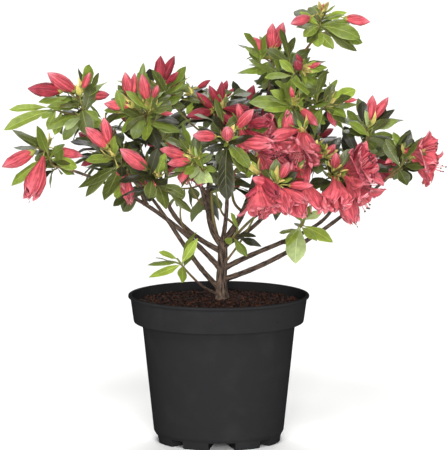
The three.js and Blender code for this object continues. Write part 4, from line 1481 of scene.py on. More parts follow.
@dataclass
class Limbs:
    """The trunk and the boughs, bare wood up to where they enter their masses."""

    rows: Sequence[LimbRow]
    # The trunk: its foot, two bends and its fork, and how far it goes down into the peat.
    trunk: tuple[Triple, ...] = ((3.4, 0.0, 149.8), (1.0, 0.0, 171.0), (6.0, 1.0, 191.0), (3.4, 0.0, 212.0))
    sunk: float = 3.0
    foot_radius: float = 6.2
    fork_radius: float = 4.9
    flare: float = 2.6
    # How much of a bough's end is in leaf.
    leafy: float = 24.0
    # The collar at a bough's root: how thick, and how soon it thins out.
    collar: Pair = (1.1, 4.0)
    # The small knees of its old buds: how thick, and how far apart.
    knees: Pair = (0.22, 17.0)
    finish: Grained = BARK
    limbs: dict[str, Limb] = field(default_factory=dict)

    def grow(self) -> None:
        """Works out the trunk and each bough from its parent."""
        shares = np.linspace(0, 1, 201)
        path = Path(bezier(self.trunk, shares))
        self.limbs["trunk"] = Limb(self.trunk, path, 1.0, self.foot_radius, self.fork_radius)
        for row in self.rows:
            root = bezier(self.limbs[row.parent].controls, row.place)[0]
            controls = (root, row.first_bend, row.second_bend, row.tip)
            path = Path(bezier(controls, shares))
            bare = 1 - min(self.leafy, path.length / 2) / path.length
            self.limbs[row.name] = Limb(controls, path, bare, row.root_radius, row.tip_radius)

    def stem(self, name: str) -> Stem:
        """Works out a limb's line with its flare, or with its collar and the knees of its buds.

        Args:
            name: The limb.

        Returns:
            Its points and radii.
        """
        limb = self.limbs[name]
        path = limb.path.part(0, limb.bare, 2.0)
        shares = np.linspace(0, 1, len(path))
        radii = limb.radii(len(path))
        if name == "trunk":
            radii = radii + self.flare * np.maximum(0, 1 - shares * 4) ** 2
            return np.vstack([path[0] - [0, 0, self.sunk], path]), np.concatenate([[radii[0] * 1.15], radii])
        runs = shares * limb.path.length * limb.bare
        height, gap = self.knees
        knees = height * np.maximum(0, np.cos(runs / gap * math.tau)) ** 6
        thick, soon = self.collar
        return path, radii + thick * np.exp(-runs / soon) + knees

    def build(self, sweep: Sweep) -> None:
        """Builds the trunk and the boughs and dresses them in bark.

        Args:
            sweep: Makes them.
        """
        bark = self.finish.build()
        trunk = sweep.run("trunk_bark", [self.stem("trunk")], bark, 28, relief=1.5, strip=9.0)
        settle(trunk, ["trunk"])
        stems = [self.stem(row.name) for row in self.rows]
        boughs = sweep.run("bough_bark", stems, bark, 14, relief=0.55, strip=7.0)
        settle(boughs, [f"bough_{row.name}" for row in self.rows])


# ---------------- foliage


@dataclass(frozen=True)
class Kind:
    """How a kind of bloom is made: girth as a share of length, widest place, forms, and if it is open."""

    girth: float
    widest: float
    first_form: int
    forms: int
    opened: bool = True


class Bloom(Enum):
    """The kinds of bloom."""

    BUD = Kind(0.205, 0.48, 0, 4, False)
    SLIM = Kind(0.165, 0.48, 0, 4, False)
    LIMP = Kind(0.225, 0.65, 0, 3)
    OPEN = Kind(0.6, 1.0, 3, 3)
    WILT = Kind(0.5, 0.8, 6, 3)


BUD, SLIM, LIMP, OPEN, WILT = Bloom


@dataclass(frozen=True)
class Shoot:
    """A row of the foliage table: a shoot's tip, its leaves' palette, whorl, blooms and leaves.

    A bloom is its kind, tilt, lean, reach and length, and a leaf its tilt, lean, reach and width.
    """

    tip: Triple
    palette: Palette
    whorl: int
    blooms: tuple = ()
    leaves: tuple = ()

    @property
    def spot(self) -> Array:
        """The shoot's tip as an array."""
        return np.array(self.tip, dtype=float)

    @property
    def young(self) -> bool:
        """Whether this is a young shoot, without blooms and with few leaves."""
        return not self.blooms and self.whorl < 3

    def ends(self) -> Array:
        """Gives the shoot's tip and the ends of all that its row places."""
        rows = [row[1:4] for row in self.blooms] + [row[:3] for row in self.leaves]
        return np.array([self.spot] + [self.spot + heading(tilt, lean) * reach for tilt, lean, reach in rows])


@dataclass(frozen=True)
class StemRow:
    """A thin bare stem that the solids leave out: its bough, the place on it, its bend, tip and radius."""

    bough: str
    place: float
    bend: Triple
    tip: Triple
    radius: float


@dataclass
class Spray:
    """A shoot as it grows: its mass, twig, tip, palette, source of chance, and number of leaves so far."""

    mass: str
    twig: Path
    tip: Array
    palette: Palette
    look: Chance
    grown: int = 0

    def deal(self, lowest: float) -> Tone:
        """Deals a leaf's tone from a share of the palette upwards."""
        return self.palette.deal(lowest + self.look.draw() * (1 - lowest))


@dataclass
class Crown:
    """Everything that grows from the boughs' tips: twigs, leaves, buds, flowers and their scales."""

    limbs: Limbs
    masses: dict[str, tuple[Shoot, ...]]
    finer: Sequence[tuple[str, float, Shoot]]
    stems: Sequence[StemRow]
    seed: int = 1907
    look_seed: int = 5721
    finer_seed: int = 13349
    # The turn from one leaf to the next round a shoot, and the way between them along it.
    golden_turn: float = 137.5
    spacing: float = 1.7
    leafy: float = 24.0
    # Where the second shoot of a mass forks off the first, and how far it bows under its tip.
    fork: float = 0.4
    bow: float = 6.0
    twig_radii: Pair = (1.35, 1.0)
    fine_radii: Pair = (1.15, 0.85)
    side_radii: Pair = (0.95, 0.6)
    stalk_radius: float = 0.75
    # Heights that leaves stay between, and those of single masses.
    heights: Pair = (0.0, 457.0)
    reach: dict[str, Pair] = field(default_factory=lambda: {
        "centre_left": (0.0, 364.0), "far_right": (272.0, 400.0)})
    margin: float = 0.5
    limb_margin: float = 0.5
    side_shoots: int = 4
    side_leaves: int = 5
    under_leaves: int = 6
    # Between what limits chance draws a leaf's lean, reach and width: in a whorl, on a side shoot, and, with
    # its tilt first, under a whorl.
    whorl_limits: tuple[Pair, ...] = ((10.0, -65.0), (28.0, 42.0), (10.0, 15.0))
    side_limits: tuple[Pair, ...] = ((-70.0, 20.0), (22.0, 35.0), (11.0, 14.5))
    under_limits: tuple[Pair, ...] = ((160.0, 380.0), (-75.0, 0.0), (25.0, 40.0), (12.0, 16.0))
    # And how far a scale and a leaflet lean on along the stem and out from it, and their length.
    scale_limits: tuple[Pair, ...] = ((0.7, 1.4), (0.3, 0.9), (11.0, 20.0))
    leaflet_limits: tuple[Pair, ...] = ((0.5, 1.1), (0.5, 1.0), (12.0, 20.0))
    scale_width: float = 0.38
    leaflet_width: float = 0.3
    # How long a side shoot is, and how far back a shoot has to be for all its blooms to take the darker
    # petals, which there are painted shade.
    side_lengths: Pair = (12.0, 24.0)
    painted_shade_depth: float = 30.0
    # Widths of the leaves of a whorl, as a share of the rule's, on a full shoot and on a young one.
    broad: float = 1.05
    slender: float = 0.9
    leaflets: int = 5
    scales_per_shoot: int = 5
    scales_shed: int = 2
    crimson_share: float = 0.1
    # A leaf's widest place and its shoulder along its length, its arch, and its root that may touch wood.
    leaf_middle: float = 0.56
    leaf_shoulder: float = 0.2
    leaf_arch: float = 0.07
    leaf_root: float = 0.12
    # How a leaf turns and shrinks, try by try, until it fits.
    tries: tuple = ((0, 1), (20, 1), (-20, 1), (0, 0.85), (40, 0.95), (-40, 0.95), (20, 0.8), (-20, 0.8))
    leaves: dict[Tone, Places] = field(default_factory=lambda: {tone: Places() for tone in Tone})
    # Blooms by whether they take the darker petals: deep red by chance, and painted shade behind the crown.
    buds: dict[bool, Places] = field(default_factory=lambda: {True: Places(), False: Places()})
    flowers: dict[bool, Places] = field(default_factory=lambda: {True: Places(), False: Places()})
    scales: Places = field(default_factory=Places)
    twigs: list[Stem] = field(default_factory=list)
    stalks: list[Stem] = field(default_factory=list)

    # -------- the space of each mass

    def measure(self) -> None:
        """Works out each mass's heart and spread, and gathers what leaves must miss."""
        self.names = list(self.masses)
        marks = [np.vstack([shoot.ends() for shoot in shoots]) for shoots in self.masses.values()]
        self.centres = np.array([spots.mean(axis=0) for spots in marks])
        self.powers = np.array([((spots - centre) ** 2).sum(axis=1).mean()
                                for spots, centre in zip(marks, self.centres)])
        beads = [limb.beads() for limb in self.limbs.limbs.values()]
        self.bead_centres = np.vstack([centres for centres, radii in beads])
        self.bead_radii = np.concatenate([radii for centres, radii in beads])

    def inside(self, name: str, points: Array) -> bool:
        """Says whether all points are nearer to their own mass's heart than to another's.

        Args:
            name: The mass.
            points: The points.

        Returns:
            Whether they all are, and within the mass's heights too.
        """
        lowest, highest = self.reach.get(name, self.heights)
        if points[:, 2].max() > highest or points[:, 2].min() < lowest:
            return False
        shares = ((points[:, None, :] - self.centres[None]) ** 2).sum(axis=2) - self.powers[None]
        own = self.names.index(name)
        gaps = np.linalg.norm(self.centres - self.centres[own], axis=1)
        room = shares - shares[:, own:own + 1] - 2 * self.margin * gaps[None]
        room[:, own] = 1.0
        return bool((room >= 0).all())

    def touches(self, foot: Array, axes: Sequence[Array], length: float, width: float) -> bool:
        """Says whether a leaf's blade touches a limb or a bloom that has been set.

        Args:
            foot: The leaf's foot.
            axes: Its directions ahead, across and up.
            length: Its length.
            width: Its width.

        Returns:
            Whether it touches one.
        """
        reach = self.bead_radii + self.limb_margin
        along, aside, over = ((self.bead_centres - foot) @ axis for axis in axes)
        share = along / length
        swell = np.sin(np.clip(share, 0, 1) * math.pi)
        near = (along > -reach) & (along < length + reach) & (share > self.leaf_root)
        near &= np.abs(aside) < width / 2 * swell + reach
        near &= np.abs(over - self.leaf_arch * length * swell) < reach
        return bool(near.any())

    # -------- leaves and blooms

    def set_leaf(self, spray: Spray, row: Sequence, face: Array, tone: Tone, shade: float = 1.0) -> None:
        """Sets a leaf where it fits, as its row says or a little turned, or not at all.

        Args:
            spray: The spray that it grows on.
            row: The leaf's tilt, lean, reach and width.
            face: The direction of its upper face.
            tone: The tone that it is dealt.
            shade: How light the leaf is set; below one it darkens the leaves inside the spray as painted
                shade.
        """
        tilt, lean, reach, width = row[:4]
        twig, onward = spray.twig, spray.twig.heading(1)
        form = int(spray.look.draw() * len(LEAF_FORMS))
        shade *= spray.look.between(0.76, 1.24)
        step = spray.grown % 3 * self.spacing
        spray.grown += 1
        for turn, share in self.tries:
            direction = heading(tilt, lean + turn)
            end = spray.tip + direction * reach * share
            # The further a leaf points back, the lower on the twig it has its foot.
            back = (1 - float(direction @ onward)) / 2 * self.leafy * 0.7 + step
            foot = twig.at(max(0.12, 1 - back / twig.length))
            length = float(np.linalg.norm(end - foot))
            ahead = (end - foot) / length
            upper = unit(face - ahead * float(face @ ahead))
            across = np.cross(upper, ahead)
            shoulder = foot + ahead * length * self.leaf_shoulder
            middle, side = foot + ahead * length * self.leaf_middle, across * width / 2
            corners = np.array([shoulder, end, middle + side, middle - side])
            axes = (ahead, across, upper)
            if self.inside(spray.mass, corners) and not self.touches(foot, axes, length, width):
                self.leaves[tone].put(foot, ahead, upper, (length, width, length), form, shade)
                return

    def set_bloom(self, spray: Spray, row: tuple, order: int, deep: bool) -> None:
        """Sets a bloom at the tip of a shoot, with its stalk.

        Args:
            spray: The spray that it grows on.
            row: The bloom's kind, tilt, lean, reach and length.
            order: Its number on the shoot.
            deep: Whether it takes the darker petals and not the rose ones; behind the crown they are painted
                shade.
        """
        bloom, tilt, lean, reach, length = row
        kind, twig, look = bloom.value, spray.twig, spray.look
        end = spray.tip + heading(tilt, lean) * reach
        root = twig.at(1 - order * self.spacing / twig.length)
        ahead = unit(end - root)
        foot = end - ahead * length
        form = kind.first_form + int(look.draw() * kind.forms)
        roll = look.between(0, math.tau)
        side = np.cross(ahead, [0.3, 0.5, 0.8])
        upper = unit(side) * math.cos(roll) + np.cross(ahead, side) * math.sin(roll)
        if kind.opened:
            upper = np.array([look.between(-0.8, 0.8), -0.2, 1.0])
        girth = length * kind.girth
        places = self.flowers if kind.opened else self.buds
        places[deep].put(foot, ahead, upper, (length, girth, girth), form, look.between(0.9, 1.1))
        bend = (root + foot) / 2 + twig.heading(1) * 1.5
        stalk = through([root, bend, foot + ahead * 1.5]).part(0, 1, 3.0)
        self.stalks.append((stalk, np.full(len(stalk), self.stalk_radius)))
        # Leaves that are set later keep clear of the bloom.
        shares = np.linspace(0.1, 1, 5)
        self.bead_centres = np.vstack([self.bead_centres, foot + np.outer(shares * length, ahead)])
        girths = kind.girth * length * (1 - np.abs(shares - kind.widest)) * 0.7
        self.bead_radii = np.concatenate([self.bead_radii, girths])

    def face(self, chance: Chance, front: float) -> Array:
        """Draws which way a leaf turns its upper face: up and to the front, a little by chance."""
        return unit(np.array([(chance.draw() - 0.5) * 0.9, (chance.draw() - 0.5) * 0.5 - front, 0.75]))

    def set_scales(self, spray: Spray, count: int, shed: int) -> None:
        """Sets the papery scales that the bloom buds burst from, round the tip of a shoot.

        Args:
            spray: The spray.
            count: How many scales the buds had.
            shed: How many of them the opened flowers have let fall.
        """
        onward, look = spray.twig.heading(1), spray.look
        for number in range(count):
            out = round_stem(onward, (0.2, 0.9, 0.3), math.radians(number * self.golden_turn))
            rise, spread, length = look.each(self.scale_limits)
            form, shade = int(look.draw() * len(SCALE_FORMS)), look.between(0.8, 1.3)
            size = (length, length * self.scale_width, length)
            if number >= shed:
                self.scales.put(spray.tip - onward * 3 + out * 0.8, onward * rise + out * spread,
                                onward - out * 2, size, form, shade)

    def set_leaflets(self, spray: Spray) -> None:
        """Sets young leaflets round the buds at the tip of a shoot, greener in the shade.

        Args:
            spray: The spray.
        """
        onward, look = spray.twig.heading(1), spray.look
        for number in range(self.leaflets):
            out = round_stem(onward, (0.1, 0.3, 0.9), math.radians(number * self.golden_turn + 40))
            rise, spread, length = look.each(self.leaflet_limits)
            tone = FRESH if spray.palette in (DEEP, SHADY) and look.draw() < 0.6 else LIME
            form, shade = int(look.draw() * len(LEAF_FORMS)), look.between(0.9, 1.25)
            size = (length, length * self.leaflet_width, length)
            self.leaves[tone].put(spray.tip - onward * 3 + out, onward * rise + out * spread,
                                  onward - out * 1.5, size, form, shade)

    # -------- the growing rule

    def add_twig(self, path: Path, radii: Pair, spacing: float = 2.5) -> None:
        """Adds a twig that tapers from its root's radius to its tip's."""
        points = path.part(0, 1, spacing)
        self.twigs.append((points, np.linspace(*radii, len(points))))

    def twigs_of(self, name: str, shoots: Sequence[Shoot]) -> list[Path]:
        """Works out a mass's twigs: the first carries its bough on, the others fork off it.

        Args:
            name: The mass.
            shoots: Its shoots.

        Returns:
            The twig of each shoot.
        """
        limb = self.limbs.limbs[name]
        knots = [limb.path.at(limb.bare + (1 - limb.bare) * share) for share in (0, 0.5, 1)]
        twigs = [through([*knots, shoots[0].spot])]
        root = twigs[0].at(self.fork)
        for shoot in shoots[1:]:
            middle = (root + shoot.spot) / 2
            middle[2] = shoot.spot[2] - self.bow
            twigs.append(through([root, middle, shoot.spot]))
        return twigs

    def grow_shoot(self, mass: str, shoot: Shoot, twig: Path, chance: Chance, look: Chance) -> None:
        """Grows all that one row of the table places, then its whorl and the small leaves under it.

        Args:
            mass: The mass.
            shoot: The row.
            twig: The twig that it ends.
            chance: The numbers of the solids' rule.
            look: Further numbers, for forms, tones and shades.
        """
        spray = Spray(mass, twig, shoot.spot, shoot.palette, look)
        # Every bloom behind the crown takes the darker petals, as painted shade; a few elsewhere take them by
        # chance.
        shaded_behind = spray.tip[1] > self.painted_shade_depth
        for order, row in enumerate(shoot.blooms):
            self.set_bloom(spray, row, order, shaded_behind or look.draw() < self.crimson_share)
        if shoot.blooms:
            opened = sum(row[0].value.opened for row in shoot.blooms)
            self.set_scales(spray, self.scales_per_shoot + len(shoot.blooms), self.scales_shed * opened)
            self.set_leaflets(spray)
        start = chance.draw() * 360
        whorl = [(start + i * self.golden_turn, *chance.each(self.whorl_limits)) for i in range(shoot.whorl)]
        for row in shoot.leaves:
            tone = row[4] if len(row) > 4 else spray.deal(0)
            self.set_leaf(spray, row, self.face(chance, 0.7), tone)
        # The whorl's leaves and those under it are dealt darker tones and set darker, by 0.95 and 0.85:
        # partly the older leaves' own darker green, partly painted shade inside the spray.
        for *turns, width in whorl:
            row = (*turns, width * (self.slender if shoot.young else self.broad))
            self.set_leaf(spray, row, self.face(chance, 0.2), spray.deal(0.25), 0.95)
        for _ in range(1 if shoot.young else self.under_leaves if shoot.whorl else 2):
            row = look.each(self.under_limits)
            self.set_leaf(spray, row, self.face(look, 0.3), spray.deal(0.4), 0.85)

    def grow_side_shoots(self, mass: str, twig: Path, palette: Palette, look: Chance) -> None:
        """Grows the finer twigs that the solids leave out, each with a whorl of smaller leaves.

        Args:
            mass: The mass.
            twig: The twig that they grow from.
            palette: The palette of their leaves.
            look: The source of random numbers.
        """
        for number in range(self.side_shoots):
            share = 0.3 + 0.6 * (number + 0.5) / self.side_shoots
            root, onward = twig.at(share), twig.heading(share)
            turn = math.radians(number * self.golden_turn + look.between(0, 60))
            out = onward * 0.5 + round_stem(onward, (0.3, 0.2, 0.9), turn) + np.array([0, 0, 0.35])
            tip = root + unit(out) * look.between(*self.side_lengths)
            if not self.inside(mass, tip[None]):
                continue
            spray = Spray(mass, through([root, (root + tip) / 2 - [0, 0, 1.5], tip]), tip, palette, look)
            self.add_twig(spray.twig, self.side_radii, 3.0)
            start = look.between(0, 360)
            for order in range(self.side_leaves):
                row = (start + order * self.golden_turn, *look.each(self.side_limits))
                # Side shoots' leaves are set darker, by 0.88, as painted shade inside the spray.
                self.set_leaf(spray, row, self.face(look, 0.4), spray.deal(0.3), 0.88)

    def grow_finer(self) -> None:
        """Grows the finer shoots, each in the space of the mass that its tip lies in."""
        look = Chance(self.finer_seed)
        for bough, place, shoot in self.finer:
            root, tip = self.limbs.limbs[bough].path.at(place), shoot.spot
            nearest = (((self.centres - tip) ** 2).sum(axis=1) - self.powers).argmin()
            twig = through([root, (root + tip) / 2 - [0, 0, 3.0], tip])
            self.add_twig(twig, self.fine_radii)
            self.grow_shoot(self.names[int(nearest)], shoot, twig, look, look)

    def grow(self) -> None:
        """Grows every mass by the rule, then the finer shoots and the bare stems."""
        self.measure()
        for number, (mass, shoots) in enumerate(self.masses.items()):
            chance, look = Chance(self.seed + number), Chance(self.look_seed + number)
            grown = list(zip(shoots, self.twigs_of(mass, shoots)))
            for shoot, twig in grown:
                self.add_twig(twig, self.twig_radii)
                self.grow_shoot(mass, shoot, twig, chance, look)
            for shoot, twig in grown:
                if not shoot.young:
                    self.grow_side_shoots(mass, twig, shoot.palette, look)
        self.grow_finer()
        for row in self.stems:
            root = self.limbs.limbs[row.bough].path.at(row.place)
            self.add_twig(through([root, row.bend, row.tip]), (row.radius, row.radius * 0.7))

    def build(self, scatter: Scatter, sweep: Sweep) -> None:
        """Builds the pieces of the crown, each kind apart, and dresses them.

        Args:
            scatter: Sets the small forms.
            sweep: Makes the twigs and stalks.
        """
        nodes = [f"foliage_{name}" for name in self.masses]
        settle(sweep.run("twigs", self.twigs, STALK.build(), 8, relief=0.2, strip=4.0), nodes)
        settle(sweep.run("flower_stalks", self.stalks, CALYX.build(), 6))
        under = LEAF_UNDER.build()
        forms = [form.build() for form in LEAF_FORMS]
        for tone, places in self.leaves.items():
            name, roughness, foot, tip, rim, *rib = LEAF_TONES[tone]
            blade = SoftGrowth(name, roughness, foot, tip, rim, side_veins=7.0)
            midrib = SoftGrowth(f"{tone.value}_leaf_midrib", 0.5, *rib, mottle=0.05)
            finishes = [blade.build(), midrib.build(), under]
            settle(scatter.run(f"leaves_{tone.value}", forms, places, finishes), nodes)
        cup, filament, anther = CALYX.build(), FILAMENT.build(), ANTHER.build()
        buds, flowers = ([form.build() for form in kinds] for kinds in (BUD_FORMS, FLOWER_FORMS))
        # The darker pieces hold the deep red blooms and the blooms darkened behind the crown as painted
        # shade.
        for deep, word in ((False, "rose"), (True, "crimson")):
            finishes = [(PETAL_DEEP_AND_SHADED if deep else PETAL).build(), cup, filament, anther]
            settle(scatter.run(f"buds_{word}", buds, self.buds[deep], finishes[:2]), nodes)
            settle(scatter.run(f"flowers_{word}", flowers, self.flowers[deep], finishes), nodes)
        scales = [form.build() for form in SCALE_FORMS]
        settle(scatter.run("bud_scales", scales, self.scales, [SCALE.build()] * 3))


# Leaves that are widest at the middle and run out to a point, and narrow ones.
POINTED = (
    (0.0, 0.07), (0.08, 0.1), (0.2, 0.42), (0.35, 0.8), (0.5, 1.0), (0.64, 0.97), (0.78, 0.74), (0.89, 0.42),
    (0.96, 0.17))
NARROW = (
    (0.0, 0.07), (0.08, 0.1), (0.2, 0.32), (0.35, 0.6), (0.5, 0.8), (0.64, 0.84), (0.78, 0.7), (0.89, 0.42),
    (0.96, 0.18))
LEAF_FORMS = (
    LeafForm(0.06, 0.05, 0.3, 0.03), LeafForm(0.1, 0.09, -0.4, -0.04, outline=POINTED),
    LeafForm(0.03, 0.03, 0.6, 0.05, outline=POINTED), LeafForm(0.12, 0.02, 0.0, 0.0),
    LeafForm(0.08, 0.12, 0.5, -0.06, outline=NARROW), LeafForm(0.05, -0.03, -0.5, 0.04, outline=POINTED),
)
SCALE_FORMS = tuple(LeafForm(*bends, wave=0.0, outline=outline, thickness=0.03) for bends, outline in (
    ((0.16, 0.12, 0.2, 0.0), ((0.0, 0.5), (0.12, 0.7), (0.3, 0.95), (0.5, 1.0), (0.7, 0.8), (0.88, 0.4))),
    ((-0.1, 0.14, -0.3, 0.05), ((0.0, 0.45), (0.12, 0.6), (0.3, 0.8), (0.5, 0.72), (0.7, 0.5), (0.88, 0.2))),
))
BUD_FORMS = (BudForm(1), BudForm(2, -1.0), BudForm(3, 1.6), BudForm(4, 0.8, 0.16))
# Flowers that are still furled and hang limp, and those that wither with their mouth drawn in.
LIMP_ROWS = (
    (0.0, 0.16, 36), (0.1, 0.26, 38), (0.22, 0.46, 42), (0.36, 0.7, 46), (0.5, 0.9, 48), (0.63, 1.0, 48),
    (0.76, 0.96, 46), (0.87, 0.8, 38), (0.95, 0.6, 24), (1.0, 0.42, 6))
WILT_ROWS = (
    (0.0, 0.12, 36), (0.12, 0.17, 40), (0.27, 0.3, 46), (0.42, 0.5, 50), (0.56, 0.68, 50), (0.7, 0.82, 46),
    (0.82, 0.88, 38), (0.9, 0.84, 30), (0.97, 0.76, 18), (1.0, 0.66, 5))
FLOWER_FORMS = (
    FlowerForm(21, LIMP_ROWS, 0.12, 0.1, 2, 1.2), FlowerForm(22, LIMP_ROWS, 0.16, 0.13, 1, 1.3),
    FlowerForm(23, LIMP_ROWS, 0.1, 0.15, 0, 1.1),
    FlowerForm(31), FlowerForm(32, ruffle=0.1, crumple=0.06), FlowerForm(33, ruffle=0.08, crumple=0.09),
    FlowerForm(41, WILT_ROWS, 0.12, 0.12, 2, 1.2, 4), FlowerForm(42, WILT_ROWS, 0.15, 0.14, 1, 1.3, 3),
    FlowerForm(43, WILT_ROWS, 0.1, 0.16, 2, 1.25, 5),
)


# ---------------- tables, in millimetres and degrees

LIMBS = tuple(LimbRow(*row) for row in (
    ("left", "trunk", 0.15, (-40, -20, 201), (-54, -42, 258), (-103, -48, 297), 2.9, 1.4),
    ("far_left", "trunk", 0.48, (-43, -12, 236), (-102, -28, 277), (-173, -20, 294), 2.9, 1.4),
    ("upper_left", "far_left", 0.5, (-100, -1, 316), (-129, 2, 328), (-142, 6, 350), 2.0, 1.3),
    ("high_left", "trunk", 0.8, (-79, 47, 234), (-50, 20, 274), (-74, -18, 338), 3.0, 1.4),
    ("mid_left", "high_left", 0.5, (-51, 38, 292), (-60, 48, 324), (-62, 44, 352), 2.0, 1.3),
    ("front_left", "high_left", 0.45, (-53, -14, 270), (-57, -58, 264), (-62, -86, 281), 1.9, 1.3),
    ("centre_left", "trunk", 0.93, (-25, 2, 233), (-2, 66, 290), (-6, 62, 340), 3.7, 1.5),
    ("low_front", "centre_left", 0.32, (-13, -27, 243), (-19, -42, 275), (-22, -62, 296), 2.1, 1.3),
    ("centre_front", "trunk", 0.97, (12, -17, 252), (7, -50, 284), (9, -74, 319), 2.5, 1.4),
    ("high_right", "trunk", 0.95, (49, 13, 257), (43, 30, 332), (57, 26, 391), 3.6, 1.6),
    ("top", "high_right", 0.78, (68, 14, 379), (85, 2, 404), (103, -5, 430), 2.2, 1.5),
    ("front_high", "high_right", 0.5, (49, -8, 316), (66, -28, 331), (80, -39, 354), 2.1, 1.4),
    ("far_right", "trunk", 0.32, (75, -34, 196), (138, -25, 245), (191, -9, 293), 3.0, 1.4),
    ("right", "trunk", 0.5, (67, -6, 218), (136, -2, 222), (117, -70, 284), 2.9, 1.4),
    ("upper_right", "far_right", 0.7, (146, 2, 262), (157, 15, 289), (155, 19, 316), 2.0, 1.3),
    ("low_centre", "trunk", 0.9, (55, -7, 233), (57, -45, 260), (58, -94, 278), 2.6, 1.3),
    ("centre_right", "low_centre", 0.42, (67, -35, 256), (89, -47, 275), (103, -52, 303), 2.0, 1.3),
    ("low_left", "trunk", 0.06, (-17, -21, 163), (-26, -32, 176), (-36, -42, 189), 1.5, 1.2),
    ("low_right", "right", 0.34, (77, -31, 211), (80, -40, 221), (83, -49, 232), 1.4, 1.2),
    ("inner", "trunk", 0.86, (9, -9, 211), (14, -15, 216), (18, -20, 222), 1.4, 1.2),
    ("rear_left", "centre_left", 0.42, (-30, 60, 285), (-80, 85, 292), (-112, 82, 290), 2.3, 1.3),
    ("rear_mid_left", "centre_left", 0.62, (-20, 80, 300), (-42, 110, 305), (-52, 118, 301), 2.0, 1.3),
    ("rear_centre", "centre_left", 0.78, (5, 90, 310), (18, 120, 318), (22, 132, 317), 1.9, 1.3),
    ("rear_right", "high_right", 0.42, (60, 60, 290), (85, 95, 292), (92, 110, 295), 2.1, 1.3),
    ("rear_far_right", "high_right", 0.3, (60, 45, 285), (115, 70, 280), (142, 76, 277), 2.2, 1.3),
    ("rear_high", "high_right", 0.68, (50, 50, 350), (62, 65, 358), (68, 70, 360), 1.9, 1.3),
))

